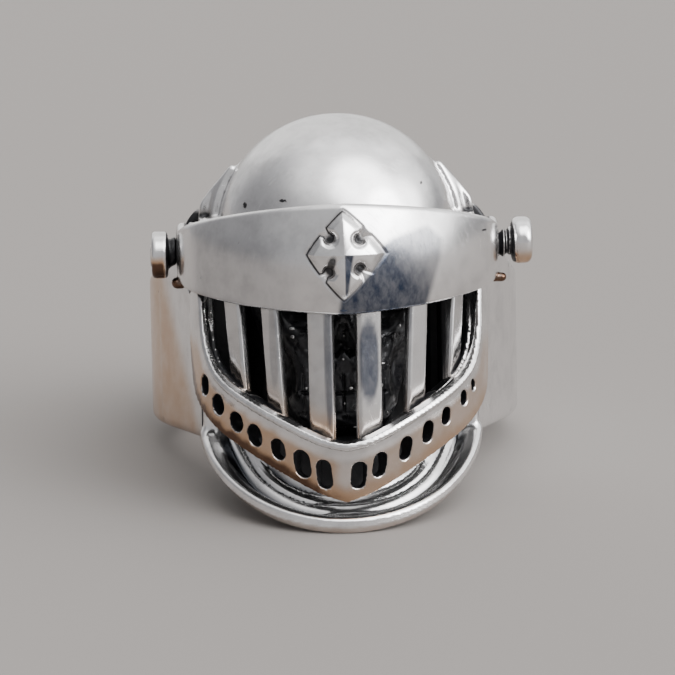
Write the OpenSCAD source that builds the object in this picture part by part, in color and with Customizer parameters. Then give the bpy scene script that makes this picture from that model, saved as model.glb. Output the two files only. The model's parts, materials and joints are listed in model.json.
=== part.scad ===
// A heavy cast ring in the form of a knight's helmet, lying on its side as it rests by itself.
// Every piece is drawn in the ring's own frame and then tipped into its resting place.
// Ring frame: the finger bore runs along Z, the helmet faces -Y, and X runs along the rivets.
// Its origin is where the bore's axis meets the level of the rivets.
// Helmet places are given as x, f and z, where f is the distance in front of the rivets' axis.

/* [Band] */
// Inside diameter of the band, which the finger goes through
bore_d = 20.2; // [20:0.1:20.4]
// Thickness of the band's wall
band_wall = 2.15; // [2:0.05:2.3]
// Height of the rivets' axis above the band's lower edge
band_drop = 12.3; // [12:0.1:12.5]
// Slope of the band's upper edge as it narrows to the back, in degrees
band_taper_deg = 11; // [9:0.5:13]
// Radius of the hollow curve where the band's upper edge climbs to the shoulders
shoulder_r = 10.8; // [10.6:0.1:11]

/* [Helmet] */
// Distance from the bore's wall forward to the rivets' axis
pivot_gap = 0.9; // [0.8:0.05:1]
// Radius of the dome
dome_r = 7.6; // [7.5:0.05:7.65]
// Height of the dome's centre above the rivets' axis
dome_z = 1.0; // [0.8:0.1:1.1]
// Half width of the helmet between the seats of the ears
cheek_x = 8.8; // [8.7:0.02:8.82]
// Thickness of the metal round the hollow of the helmet
shell_t = 1.5; // [1.3:0.05:1.6]

/* [Visors] */
// How far the brow's ridge stands in front of the rivets
ridge_f = 11.6; // [11.5:0.05:11.7]
// Radius of each half of the brow, seen from above
brow_arc_r = 15; // [14.8:0.1:15.3]
// Half width over the brow's ears
brow_x = 10.35; // [10.3:0.05:10.4]
// Thickness of the brow
brow_t = 0.75; // [0.7:0.01:0.76]
// Radius of the ears round the rivets
ear_r = 1.8; // [1.7:0.05:1.9]
// Height of the brow above the rivets at its ridge
brow_top = 4.0; // [3.8:0.1:4.2]
// Depth of the brow below the rivets at its ridge
brow_low = 3.2; // [3:0.1:3.3]
// Height of the cross over the brow's surface
cross_h = 0.35; // [0.25:0.05:0.4]
// Number of bars in the grille
bar_count = 6; // [4:2:6]
// Width of a bar
bar_w = 1.4; // [1.2:0.05:1.5]

/* [Rivets] */
// Diameter of the rivets' shafts
pin_d = 1.3; // [1.2:0.05:1.4]
// Diameter of the rivets' heads
head_d = 3.0; // [2.8:0.1:3.2]
// Running clearance of the ears round the shafts
pin_clearance = 0.05; // [0.03:0.01:0.08]

/* [Hidden] */

$fn = 72;
// Facets of large round shapes, and of small beads
fine_fn = 180;
small_fn = 24;
// Longer than the whole ring, for cuts that go right through
reach = 40;
// How far joined solids run into each other
over = 1;

bore_r = bore_d / 2;
band_r = bore_r + band_wall;
pivot_y = -(bore_r + pivot_gap);
base_z = -band_drop;

// The bore's wall is straight from its lower edge to here, and then widens a little behind the helmet
bore_top_z = -1;
bore_widen = 0.5;
bore_widen_h = 10;
// Hollow curve of the band's upper edge, as y and z of its centre
shoulder_centre = [0.2, 8.4];
// Front view of the shoulders: where their slope starts beside the dome and where it ends
shoulder_top = [6.7, 5.5];
shoulder_end = [13, -2.4];
// Cheeks below the ears, and the helmet's side above them, in front of the rivets
cheek_f = 1.6;
temple_f = -0.7;
temple_z = -2.2;
// Where the helmet's side turns into the band, outward of the cheek and behind the rivets' axis
corner_out = 0.15;
corner_back = 0.2;
// Round pads that the rivets go into, and the flat seats round them that the ears turn on
pad_r = 2.1;
seat_r = 3.3;
// Lower edge of the dome over the face, and its back over the band
dome_edge_z = 1.2;
dome_back_y = -8.6;
// Raised bead that runs up each side of the dome: its own radius, its gap from the dome and its length
bead_r = 0.42;
bead_gap = 0.3;
bead_from = -8;
bead_turn = 50;
// Half width of the hollow of the helmet, and the level of the neck inside it
hollow_x = 6.4;
neck_z = -11.4;
neck_inset = 2.4;
neck_rise = 1.1;

// Edge of the collar, seen from above as half an ellipse that drops towards the chin
collar_x = 9.1;
collar_f = 9.9;
collar_z = -11.2;
collar_drop = 0.52;
collar_turn = 84;
collar_steps = 24;
// Section of the collar, from its foot out over the rolled edge and two plates, and up to the neck.
// Columns: distance inward from the edge, height above the edge
COLLAR_ROWS = [
    [3.0, 0.80],
    [0.9, -0.35],
    [0.35, -0.55],
    [0.0, -0.15],
    [0.1, 0.25],
    [0.5, 0.45],
    [0.85, 0.35],
    [0.8, 0.95],
    [1.15, 1.15],
    [1.45, 1.05],
    [1.4, 1.65],
    [1.8, 1.85],
    [2.2, 2.0],
    [3.0, 2.3]
];
collar_foot = COLLAR_ROWS[2];

// Skull: half width, lowest point, depth under the brow's plan, gap at its back
skull_x = 5.6;
skull_low_z = neck_z + 0.1;
skull_sunk = 3.2;
skull_gap = 0.1;
cranium_r = 5.5;
cranium_f = 0.2;
cranium_z = 0.8;
face_r = 9;
face_f = -0.8;
face_z = -5;
// Front view of one side of the skull, from the temple down to the chin. Columns: x, z
SKULL_SIDE = [
    [skull_x, 0.8],
    [skull_x, -3.6],
    [4.9, -5.6],
    [3.7, -8.6],
    [2.6, skull_low_z]
];
// Round hollows of the face on each side. Columns: x, f, z, radius
SKULL_HOLLOWS = [
    [2.45, 7.4, -3.0, 1.7],
    [5.2, 5.9, -7.3, 2.2]
];
// Opening of the nose: its top, its half width and its height at the sides and in the middle
nose_z = -4.1;
nose_x = 0.85;
nose_side_h = 1.9;
nose_mid_h = 1.6;

// Centre of each brow arc, from the chord between the ridge and the bend near the ear
bend = [9.6, 4.2];
chord = [-bend[0], ridge_f - bend[1]];
arc_sink = sqrt(pow(brow_arc_r, 2) - pow(norm(chord) / 2, 2));
arc_x = bend[0] / 2 - arc_sink * chord[1] / norm(chord);
arc_f = (ridge_f + bend[1]) / 2 + arc_sink * chord[0] / norm(chord);

// Height at which the brow's upper edge runs into the ears, over the rivets' axis
brow_back = 1.2;

// Cross on the brow: its half width, half height and middle, and the notches between its arms
cross_x = 2.6;
cross_z = 2.76;
cross_mid_z = 0.78;
notch_r = 0.36;
notch_at = 0.86;
notch_slit = 0.25;

// Half width of the strip along the ridge in which the way out of the helmet turns to straight ahead
ridge_x = 2;
// Gap between the ears, and the outer face of the grille's ears
ear_gap = 0.1;
grille_x = brow_x - brow_t - ear_gap;
plate_t = 0.56;
// Sections of the grille's frame, from the top of the side plate down to the chin.
// Columns: crest x, crest f, crest z, lower edge x, lower edge f, lower edge z, depth behind the crest,
// width of the bright rim along the crest
FRAME_ROWS = [
    [8.95, 2.60, 1.60, grille_x, -0.90, 1.40, 0.95, 0.40],
    [8.95, 2.80, 0.00, grille_x, -0.60, 0.00, 0.95, 0.40],
    [8.90, 3.10, -2.00, grille_x, 0.30, -1.90, 0.95, 0.40],
    [8.85, 3.70, -4.00, grille_x, 0.50, -4.60, 0.95, 0.45],
    [8.65, 4.70, -5.70, 9.42, 1.30, -7.60, 1.00, 0.50],
    [8.00, 6.20, -7.20, 9.05, 3.60, -9.30, 1.50, 0.60],
    [6.50, 8.05, -8.35, 7.75, 5.90, -10.80, 2.00, 0.70],
    [4.00, 10.00, -9.65, 5.00, 8.20, -12.50, 2.20, 0.75],
    [1.60, 11.05, -10.75, 1.90, 9.50, -14.20, 2.20, 0.75],
    [0.00, 11.40, -11.10, 0.00, 9.75, -14.90, 2.20, 0.75]
];
// Sections made between two rows of the table
frame_steps = 3;
frame_last = len(FRAME_ROWS) - 1;
// Gap between the frame and the cheeks
frame_gap = 0.3;
// Rise of the rim, and the fall of the floor behind it
rim_rise = 0.1;
floor_fall = 0.4;
// Rise of the inner corner of the frame's lower edge
edge_rise = 0.2;
// First of the frame's rows that a bar can end on
foot_row = 4;
// How far a slot is cut inward
slot_in = 3.2;
// Slots of the chin band, cut by hand and so unequal, from the chin outward on each side.
// Columns: place along the frame's rows, share of the way down the band, width, height
SLOTS_LEFT = [
    [8.17, 0.62, 0.95, 1.90],
    [7.64, 0.62, 1.10, 1.80],
    [7.14, 0.60, 1.00, 1.35],
    [6.64, 0.60, 1.10, 1.40],
    [6.21, 0.57, 1.15, 1.25],
    [5.60, 0.53, 1.10, 1.25],
    [4.86, 0.51, 0.95, 1.05]
];
SLOTS_RIGHT = [
    [8.49, 0.58, 0.94, 1.75],
    [7.88, 0.55, 0.92, 1.60],
    [7.29, 0.54, 0.88, 1.50],
    [6.77, 0.51, 0.88, 1.40],
    [6.31, 0.46, 0.80, 1.10],
    [5.70, 0.42, 0.70, 0.95],
    [5.20, 0.40, 0.55, 0.70]
];
// Hidden rail that the bars hang from, as depths under the brow's surface and levels
rail_out = 1.05;
rail_in = 1.65;
rail_low_z = -1.6;
rail_top_z = 1.2;
// Bars, as depths under the brow's surface, the place of their tops, and how far their feet go in
bar_out = 1.5;
bar_in = 2.15;
bar_top_z = -1.4;
bar_foot = 0.5;
bar_turn = 14.8;
bar_lean = 0.8;
side_f = 2.5;

// Rivets: inner end, gap in the cheek, and the faces of the two heads along X
pin_end_x = 7.0;
pin_seat_gap = 0.02;
left_head = [10.95, 12.15];
right_head = [11.2, 12.5];
left_round = 0.35;
right_round = 0.6;
collar_r = 0.95;
collar_x_range = [10.45, 10.75];

// The floor meets the front of the collar and the lower edge of the band's back
front_foot = [
    pivot_y - collar_f + collar_foot[0],
    collar_z - collar_drop * collar_f + collar_foot[1]
];
back_foot = [band_r, base_z];
lean = atan((back_foot[1] - front_foot[1]) / (back_foot[0] - front_foot[0]));
floor_z = -front_foot[0] * sin(lean) + front_foot[1] * cos(lean);
// The middle of the object's depth, between the grille's crest and the top of the band's back
back_top_z = shoulder_centre[1] - shoulder_r / cos(band_taper_deg)
    - (band_r - shoulder_centre[0]) * tan(band_taper_deg);
crest = FRAME_ROWS[frame_last];
crest_y = (pivot_y - crest[1]) * cos(lean) + crest[2] * sin(lean);
back_y = band_r * cos(lean) + back_top_z * sin(lean);
middle_y = (crest_y + back_y) / 2;

// Shared shapes

module resting() {
    translate([0, -middle_y, -floor_z]) rotate([-lean, 0, 0]) children();
}

// Draws a side view, given in y and z, as a solid of width w across the ring
module across(w) {
    rotate([90, 0, 90]) linear_extrude(height = w, center = true) children();
}

// Draws a side view, given in f and z
module across_helmet(w) {
    translate([0, pivot_y, 0]) rotate([0, 0, 180]) across(w) children();
}

// Draws a front view, given in x and z, as a solid in front of the rivets
module forward() {
    translate([0, pivot_y, 0]) rotate([90, 0, 0]) linear_extrude(height = reach) children();
}

// Draws a front view right through the ring
module through() {
    translate([0, reach / 2, 0]) rotate([90, 0, 0]) linear_extrude(height = reach) children();
}

// Turns a solid that stands on the origin so that it lies on the rivets' axis, on one side
module on_pivot(side = 1) {
    translate([0, pivot_y, 0]) rotate([0, side * 90, 0]) children();
}

// The brow's plan, sunk by a distance, as distance from the rivets' axis against x
module brow_plan(sunk) {
    intersection() {
        translate([arc_f, arc_x]) circle(r = brow_arc_r - sunk, $fn = fine_fn);
        translate([arc_f, -arc_x]) circle(r = brow_arc_r - sunk, $fn = fine_fn);
        translate([0, sunk - brow_x]) square([ridge_f + over, 2 * (brow_x - sunk)]);
    }
}

// A shell that turns about the rivets' axis, between two depths under the brow's surface
module brow_shell(outer, inner) {
    on_pivot() rotate_extrude($fn = fine_fn) difference() {
        brow_plan(outer);
        brow_plan(inner);
    }
}

// The same plan as an upright solid
module upright(sunk, low, high) {
    translate([0, pivot_y, low]) rotate([0, 0, -90]) linear_extrude(height = high - low) brow_plan(sunk);
}

// A closed solid through sections that all have the same number of points
module loft(sections) {
    n = len(sections[0]);
    last = len(sections) - 1;
    sides = [for (s = [0:last - 1], i = [0:n - 1])
        let (j = (i + 1) % n)
        [(s + 1) * n + i, (s + 1) * n + j, s * n + j, s * n + i]];
    ends = [[for (i = [0:n - 1]) i], [for (i = [n - 1:-1:0]) last * n + i]];
    polyhedron(points = [for (s = sections) each s], faces = concat(sides, ends), convexity = 8);
}

// Ring body

module side_outline() {
    start = shoulder_centre + shoulder_r * [-sin(band_taper_deg), -cos(band_taper_deg)];
    end_y = band_r + over;
    difference() {
        translate([-reach / 2, base_z]) square([reach / 2 + end_y, band_drop + dome_r]);
        translate(shoulder_centre) circle(r = shoulder_r, $fn = fine_fn);
        polygon([
            start,
            [end_y, start[1] - (end_y - start[0]) * tan(band_taper_deg)],
            [end_y, reach],
            [start[0], reach]
        ]);
    }
}

module front_outline() {
    polygon([
        [-shoulder_end[0], base_z],
        [shoulder_end[0], base_z],
        shoulder_end,
        shoulder_top,
        [-shoulder_top[0], shoulder_top[1]],
        [-shoulder_end[0], shoulder_end[1]]
    ]);
}

// Cheeks and shoulders seen from above, tangent to the band
module plan_outline() {
    corner = [cheek_x + corner_out, pivot_y + corner_back];
    turn = atan2(corner[1], corner[0]) + acos(band_r / norm(corner));
    touch = band_r * [cos(turn), sin(turn)];
    circle(r = band_r, $fn = fine_fn);
    polygon([
        touch,
        corner,
        [cheek_x, corner[1]],
        [cheek_x, pivot_y - cheek_f],
        [-cheek_x, pivot_y - cheek_f],
        [-cheek_x, corner[1]],
        [-corner[0], corner[1]],
        [-touch[0], touch[1]]
    ]);
}

module band_and_cheeks() {
    difference() {
        intersection() {
            translate([0, 0, base_z]) linear_extrude(height = band_drop + dome_r) plan_outline();
            across(reach) side_outline();
            through() front_outline();
        }
        translate([-reach / 2, pivot_y - temple_f - reach, temple_z]) cube(reach);
    }
}

module dome() {
    difference() {
        translate([0, pivot_y, dome_z]) sphere(r = dome_r, $fn = fine_fn);
        translate([-reach / 2, pivot_y - cheek_f - reach, dome_edge_z - reach]) cube(reach);
        translate([-reach / 2, dome_back_y, -reach / 2]) cube(reach);
    }
}

// The bead's upper end stops at the slope of the shoulder
module bead() {
    intersection() {
        translate([0, pivot_y - temple_f, dome_z]) rotate([90, 0, 0])
            rotate_extrude(angle = bead_turn, start = bead_from, $fn = fine_fn)
            translate([dome_r + bead_gap, 0]) circle(r = bead_r, $fn = small_fn);
        through() front_outline();
    }
}

function collar_point(turn, row) =
    let (x = collar_x * sin(turn), f = collar_f * cos(turn))
    let (outward = [x / pow(collar_x, 2), f / pow(collar_f, 2)])
    let (way = outward / norm(outward))
    [x - way[0] * row[0], pivot_y - f + way[1] * row[0], collar_z - collar_drop * f + row[1]];

module collar() {
    turns = [for (i = [0:collar_steps]) collar_turn * (1 - 2 * i / collar_steps)];
    loft([for (t = turns) [for (row = COLLAR_ROWS) collar_point(t, row)]]);
}

// The neck stands inside the collar and carries the skull
module neck() {
    neck_f = collar_f - neck_inset;
    intersection() {
        translate([0, pivot_y, -reach / 2]) linear_extrude(height = reach) polygon([
            for (turn = [-90:10:90])
                [(collar_x - neck_inset) * sin(turn), -neck_f * cos(turn)]
        ]);
        across_helmet(2 * cheek_x) polygon([
            [-over / 2, base_z],
            [neck_f, collar_z - collar_drop * collar_f + neck_rise],
            [neck_f, neck_z],
            [-over / 2, neck_z]
        ]);
    }
}

// The hollow of the helmet, open at the face
module hollow() {
    difference() {
        union() {
            translate([0, pivot_y, dome_z]) sphere(r = dome_r - shell_t, $fn = fine_fn);
            translate([-hollow_x, pivot_y - reach + over, neck_z])
                cube([2 * hollow_x, reach, dome_edge_z - neck_z]);
        }
        cylinder(r = bore_r + shell_t, h = reach, center = true, $fn = fine_fn);
    }
}

module bore() {
    rotate_extrude($fn = fine_fn) polygon([
        [0, -reach / 2],
        [bore_r, -reach / 2],
        [bore_r, bore_top_z],
        [bore_r + bore_widen, bore_top_z + bore_widen_h],
        [0, bore_top_z + bore_widen_h]
    ]);
}

module ring_body() {
    color("silver") resting() difference() {
        union() {
            difference() {
                union() {
                    band_and_cheeks();
                    dome();
                    for (side = [0, 1]) mirror([side, 0, 0]) bead();
                }
                for (side = [-1, 1]) on_pivot(side) translate([0, 0, cheek_x]) cylinder(r = seat_r, h = reach);
            }
            for (side = [-1, 1]) on_pivot(side) cylinder(r = pad_r, h = cheek_x);
            collar();
            neck();
        }
        bore();
        hollow();
        for (side = [-1, 1]) on_pivot(side) translate([0, 0, pin_end_x])
            cylinder(r = pin_d / 2 + pin_seat_gap, h = reach);
    }
}

// Skull

module skull_outline() {
    polygon(concat(SKULL_SIDE, [for (i = [len(SKULL_SIDE) - 1:-1:0]) [-SKULL_SIDE[i][0], SKULL_SIDE[i][1]]]));
}

module skull() {
    color("dimgray") resting() difference() {
        union() {
            translate([0, pivot_y - cranium_f, cranium_z]) sphere(r = cranium_r, $fn = fine_fn);
            intersection() {
                upright(skull_sunk, -reach / 2, reach / 2);
                through() skull_outline();
                translate([0, pivot_y - face_f, face_z]) sphere(r = face_r, $fn = fine_fn);
            }
        }
        // the back lies against the wall of the bore
        cylinder(r = bore_r + shell_t + skull_gap, h = reach, center = true, $fn = fine_fn);
        for (side = [-1, 1], row = SKULL_HOLLOWS)
            translate([side * row[0], pivot_y - row[1], row[2]]) sphere(r = row[3]);
        forward() polygon([
            [0, nose_z],
            [-nose_x, nose_z - nose_side_h],
            [0, nose_z - nose_mid_h],
            [nose_x, nose_z - nose_side_h]
        ]);
    }
}

// Grille

// The frame's row at a place between two rows of the table, on a smooth curve
function frame_row(place) =
    let (i = min(floor(place), frame_last - 1), t = place - i)
    let (a = FRAME_ROWS[max(i - 1, 0)], b = FRAME_ROWS[i], c = FRAME_ROWS[i + 1])
    let (d = FRAME_ROWS[min(i + 2, frame_last)])
    let (slope = c - a, curve = 2 * a - 5 * b + 4 * c - d, twist = 3 * b - a - 3 * c + d)
    0.5 * (2 * b + t * (slope + t * (curve + t * twist)));

// The way straight out of the helmet at a point of its plan, straight ahead at the ridge
function way_out(x, f) = let (way = [x - arc_x * min(1, x / ridge_x), f - arc_f]) way / norm(way);

// A point of the frame's section, at a depth behind a place and a rise above it
function behind(x, f, z, depth, rise, side) =
    let (way = way_out(x, f))
    [side * (x - depth * way[0]), pivot_y - f + depth * way[1], z + rise];

function frame_section(row, side) = [
    behind(row[0], row[1], row[2], 0, 0, side),
    behind(row[0], row[1], row[2], row[7], rim_rise, side),
    behind(row[0], row[1], row[2], row[6], -floor_fall, side),
    behind(row[3], row[4], row[5], plate_t, edge_rise, side),
    behind(row[3], row[4], row[5], 0, 0, side)
];

// The frame clears the cheeks and the round pads of the rivets
module grille_frame() {
    rows = [for (i = [0:frame_last * frame_steps]) frame_row(i / frame_steps)];
    right = [for (row = rows) frame_section(row, 1)];
    left = [for (i = [len(rows) - 2:-1:0]) frame_section(rows[i], -1)];
    clear_x = cheek_x + ear_gap;
    difference() {
        loft(concat(right, left));
        translate([-clear_x, pivot_y - cheek_f - frame_gap, -reach]) cube([2 * clear_x, reach, 2 * reach]);
        on_pivot() cylinder(r = pad_r + frame_gap, h = 2 * clear_x, center = true);
    }
}

// A bar leans towards the middle as it goes down, the outer ones most
module bar(turn) {
    x = arc_x + (brow_arc_r - bar_out) * sin(turn);
    lean_in = bar_lean * x;
    foot_z = lookup(x, [for (i = [frame_last:-1:foot_row]) [FRAME_ROWS[i][0], FRAME_ROWS[i][2]]]) - bar_foot;
    intersection() {
        difference() {
            upright(bar_out, foot_z, bar_top_z);
            upright(bar_in, foot_z - over, bar_top_z + over);
        }
        translate([arc_x, pivot_y - arc_f, bar_top_z]) rotate([0, 0, turn]) rotate([0, lean_in, 0])
            translate([-bar_w / 2, -brow_arc_r, -reach / 2]) cube([bar_w, brow_arc_r, reach]);
    }
}

// A slot with round ends, cut along the way straight out of the helmet
module slot(row, side) {
    at = frame_row(row[0]);
    place = [for (i = [0:2]) at[i] + (at[i + 3] - at[i]) * row[1]];
    way = way_out(place[0], place[1]);
    w = row[2];
    straight = max(row[3] - w, 0) / 2;
    translate([side * place[0], pivot_y - place[1], place[2]])
        rotate([90, 0, side * atan2(way[0], way[1])]) translate([0, 0, -slot_in]) {
        for (end = [-1, 1]) translate([0, end * straight, 0]) cylinder(d = w, h = slot_in + over, $fn = small_fn);
        translate([-w / 2, -straight, 0]) cube([w, 2 * straight, slot_in + over]);
    }
}

module grille() {
    ridge_turn = asin(-arc_x / (brow_arc_r - bar_out));
    color("lightsteelblue") resting() difference() {
        union() {
            grille_frame();
            difference() {
                upright(rail_out, rail_low_z, rail_top_z);
                upright(rail_in, rail_low_z - over, rail_top_z + over);
                translate([-reach / 2, pivot_y - side_f, -reach / 2]) cube(reach);
            }
            for (side = [0, 1], i = [0:bar_count / 2 - 1])
                mirror([side, 0, 0]) bar(ridge_turn + (i + 0.5) * bar_turn);
            for (side = [-1, 1])
                on_pivot(side) translate([0, 0, grille_x - plate_t]) cylinder(r = ear_r, h = plate_t);
        }
        on_pivot() cylinder(r = pin_d / 2 + pin_clearance, h = reach, center = true);
        for (row = SLOTS_LEFT) slot(row, -1);
        for (row = SLOTS_RIGHT) slot(row, 1);
    }
}

// Brow

module cross_outline() {
    difference() {
        polygon([[0, cross_z], [-cross_x, 0], [0, -cross_z], [cross_x, 0]]);
        for (turn = [0:90:270]) rotate(turn + 45) translate([notch_at * sqrt(2), 0]) {
            circle(r = notch_r, $fn = small_fn);
            translate([0, -notch_slit / 2]) square([over, notch_slit]);
        }
    }
}

module brow() {
    color("gainsboro") resting() difference() {
        union() {
            intersection() {
                brow_shell(0, brow_t);
                across_helmet(reach) polygon([
                    [0, -ear_r],
                    [ridge_f, -brow_low],
                    [ridge_f, brow_top],
                    [0, brow_back]
                ]);
            }
            intersection() {
                brow_shell(-cross_h, brow_t / 2);
                forward() translate([0, cross_mid_z]) cross_outline();
            }
            for (side = [-1, 1])
                on_pivot(side) translate([0, 0, brow_x - brow_t]) cylinder(r = ear_r, h = brow_t);
        }
        on_pivot() cylinder(r = pin_d / 2 + pin_clearance, h = reach, center = true);
    }
}

// Rivets

// A rivet on one side: shaft, and a head with a rounded outer edge between two faces
module rivet(side, head, edge) {
    head_r = head_d / 2;
    on_pivot(side) {
        translate([0, 0, pin_end_x]) cylinder(d = pin_d, h = head[0] - pin_end_x + over / 2);
        rotate_extrude() {
            translate([0, head[0]]) square([head_r - edge, head[1] - head[0]]);
            translate([0, head[0] + edge]) square([head_r, head[1] - head[0] - 2 * edge]);
            for (z = [head[0] + edge, head[1] - edge]) translate([head_r - edge, z]) circle(r = edge, $fn = small_fn);
        }
    }
}

module pin_left() {
    color("silver") resting() rivet(-1, left_head, left_round);
}

module pin_right() {
    color("silver") resting() {
        rivet(1, right_head, right_round);
        on_pivot() translate([0, 0, collar_x_range[0]])
            cylinder(r = collar_r, h = collar_x_range[1] - collar_x_range[0]);
    }
}

ring_body();
skull();
grille();
brow();
pin_left();
pin_right();
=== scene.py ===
"""Builds the looks of a silver helmet ring around its fixed frame.

The cast pieces are described by distance fields in the helmet's own millimetres and meshed by surface nets.
Helmet places are x across the face, f forward from the rivets' axis and z up along the finger bore.
"""

import json
import math
from types import SimpleNamespace

import bpy
import numpy as np
from bpy.props import FloatProperty, FloatVectorProperty, IntProperty, PointerProperty
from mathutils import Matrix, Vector


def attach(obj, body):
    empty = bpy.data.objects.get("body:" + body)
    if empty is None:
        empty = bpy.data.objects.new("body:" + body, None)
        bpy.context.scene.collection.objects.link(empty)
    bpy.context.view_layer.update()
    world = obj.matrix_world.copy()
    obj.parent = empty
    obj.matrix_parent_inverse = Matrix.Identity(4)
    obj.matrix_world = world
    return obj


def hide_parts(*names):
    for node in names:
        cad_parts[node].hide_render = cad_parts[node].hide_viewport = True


bl_info = {
    "name": "Helmet ring",
    "version": (1, 0, 0),
    "blender": (4, 5, 0),
    "location": "3D View > Sidebar > Helmet ring",
    "description": "Builds the cast silver pieces, rivets and stage of a helmet ring with a barred visor",
    "category": "Object",
}

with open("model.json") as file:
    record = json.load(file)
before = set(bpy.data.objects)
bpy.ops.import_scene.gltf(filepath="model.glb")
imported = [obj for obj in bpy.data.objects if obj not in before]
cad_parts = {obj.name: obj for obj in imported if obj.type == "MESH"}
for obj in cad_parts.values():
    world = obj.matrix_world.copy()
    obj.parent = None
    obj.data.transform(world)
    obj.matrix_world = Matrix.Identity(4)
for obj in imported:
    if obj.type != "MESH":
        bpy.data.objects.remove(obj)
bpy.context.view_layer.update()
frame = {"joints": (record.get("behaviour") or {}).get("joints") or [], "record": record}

MM = 0.001

# Fillet where most of the cast forms meet
FILLET = 0.3
# Rivets' axis in front of the bore's wall
PIVOT_GAP = 0.9
# Where the brow's front would meet its ears, before the corner is rounded. Columns: x, f
BEND = (9.6, 4.2)
# Front of the cheeks, top of the face's opening, and metal left round the hollow
CHEEK_F = 1.6
FACE_TOP = 1.2
HOLLOW_WALL = 1.5
# Half axes of the collar's edge, and the turn at which the collar ends
COLLAR_X = 9.1
COLLAR_F = 9.9
COLLAR_END = 84
# The stored place inward on the collar is divided by this, so that it stays under 1
INWARD_SPAN = 4
# How many degrees the channels run out sooner for each millimetre inward of the first
CHANNEL_SLANT = 3.5
# Bead behind the dome, and the channel round it: radius from the dome's centre, and place forward
BEAD_R = 7.84
BEAD_F = -0.70
CHANNEL_R = 8.5
CHANNEL_F = -0.4
BEAD_START = math.radians(-8)
BEAD_END = math.radians(33)
# Ears of the brow and the visor, and the gap round the rivets in their holes
EAR_R = 1.8
HOLE_GAP = 0.05
# Inner and outer faces of the visor's side plates
PLATE_IN = 8.9
PLATE_OUT = 9.5
# How far the bars' faces stand behind the brow's arc, and heights between which the bars throw shade
BAR_INSET = 1.5
BAR_SHADE_TOP = -1.4
BAR_SHADE_LOW = -11.5
# Nominal width of a bar, which each bar's own width scales, the bars' top, and how deep their feet are sunk
BAR_WIDTH = 1.4
BAR_TOP = 0.9
BAR_SINK = 0.55
# Where the rivets' shafts start and end across, and where their heads start to stand off the line
SHAFT_IN = 7
SHAFT_OUT = 11.9
SHIFT_FROM = 10.3
# The left and the right rivet, by side. Columns: head's shift upwards, where it is full, head's middle,
# half length and rounding, waist's radius, height of its ribs, its middle, half length and rounding
RIVETS = {
    -1: (-0.24, 11.0, 11.36, 0.52, 0.30, 0.90, 0.00, 10.66, 0.34, 0.15),
    1: (0.22, 11.3, 11.80, 0.66, 0.55, 0.82, 0.07, 10.80, 0.42, 0.10),
}
# Middle of the skull's ball above the rivets, and the line between its rows of teeth
SKULL_Z = 0.8
BITE_Z = -8.4

# Side-to-side sections of the visor's frame, from the side plate down to the chin.
# Columns: crest x, f, z; lower edge x, f, z; depth of the gutter behind the crest; width of the rim
FRAME_ROWS = [
    (8.95, 2.60, 1.60, 9.50, -0.90, 1.40, 0.95, 0.40),
    (8.95, 2.80, 0.00, 9.50, -0.60, 0.00, 0.95, 0.40),
    (8.90, 3.10, -2.00, 9.50, 0.30, -1.90, 0.95, 0.40),
    (8.85, 3.70, -4.00, 9.50, 0.50, -4.60, 0.95, 0.45),
    (8.65, 4.70, -5.70, 9.42, 1.30, -7.60, 1.00, 0.50),
    (8.00, 6.20, -7.20, 9.05, 3.60, -9.30, 1.50, 0.60),
    (6.50, 8.05, -8.35, 7.75, 5.90, -10.80, 2.00, 0.70),
    (4.00, 10.00, -9.65, 5.00, 8.20, -12.50, 2.20, 0.75),
    (1.60, 11.05, -10.75, 1.90, 9.50, -14.20, 2.20, 0.75),
    (0.00, 11.40, -11.10, 0.00, 9.75, -14.90, 2.20, 0.75),
]
FRAME_STEPS = 3

# Hand-cut slots of the chin band. Columns: side, place along the rows, share down the band, width, height
SLOTS = [
    (-1, 8.17, 0.62, 0.95, 1.90),
    (-1, 7.64, 0.62, 1.10, 1.80),
    (-1, 7.14, 0.60, 1.00, 1.35),
    (-1, 6.64, 0.60, 1.10, 1.40),
    (-1, 6.21, 0.57, 1.15, 1.25),
    (-1, 5.60, 0.53, 1.25, 1.30),
    (-1, 4.86, 0.51, 1.25, 1.15),
    (1, 8.49, 0.58, 0.94, 1.75),
    (1, 7.88, 0.55, 0.92, 1.60),
    (1, 7.29, 0.54, 0.88, 1.50),
    (1, 6.77, 0.51, 0.88, 1.40),
    (1, 6.31, 0.46, 0.80, 1.10),
    (1, 5.70, 0.42, 0.70, 0.95),
    (1, 5.20, 0.40, 0.55, 0.70),
]

# Bars of the visor. Columns: side, turn round the arc in degrees, width, lean towards the middle in degrees
BARS = [
    (-1, 53.0, 1.48, 6.2),
    (-1, 38.7, 1.26, 4.0),
    (-1, 22.4, 1.64, 0.3),
    (1, 22.9, 1.64, 0.4),
    (1, 39.4, 1.50, 3.2),
    (1, 56.4, 1.30, 6.6),
]

# Painted dark reflections on the bars. Columns: x, z, half width, half height, strength
BAR_PAINTED_REFLECTIONS = [
    (1.52, -6.1, 0.62, 2.6, 0.88),
    (-0.98, -5.0, 0.26, 5.5, 0.66),
    (3.95, -2.9, 0.36, 2.0, 0.45),
    (-4.3, -4.0, 0.30, 4.0, 0.30),
]

# Underside and outer edge of the collar. Columns: distance inward from its edge, height above its edge
COLLAR_UNDER = [(3.3, 0.9), (0.9, -0.35), (0.35, -0.55), (0.0, -0.15), (0.02, 0.3), (0.4, 1.2), (3.3, 4.0)]
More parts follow.
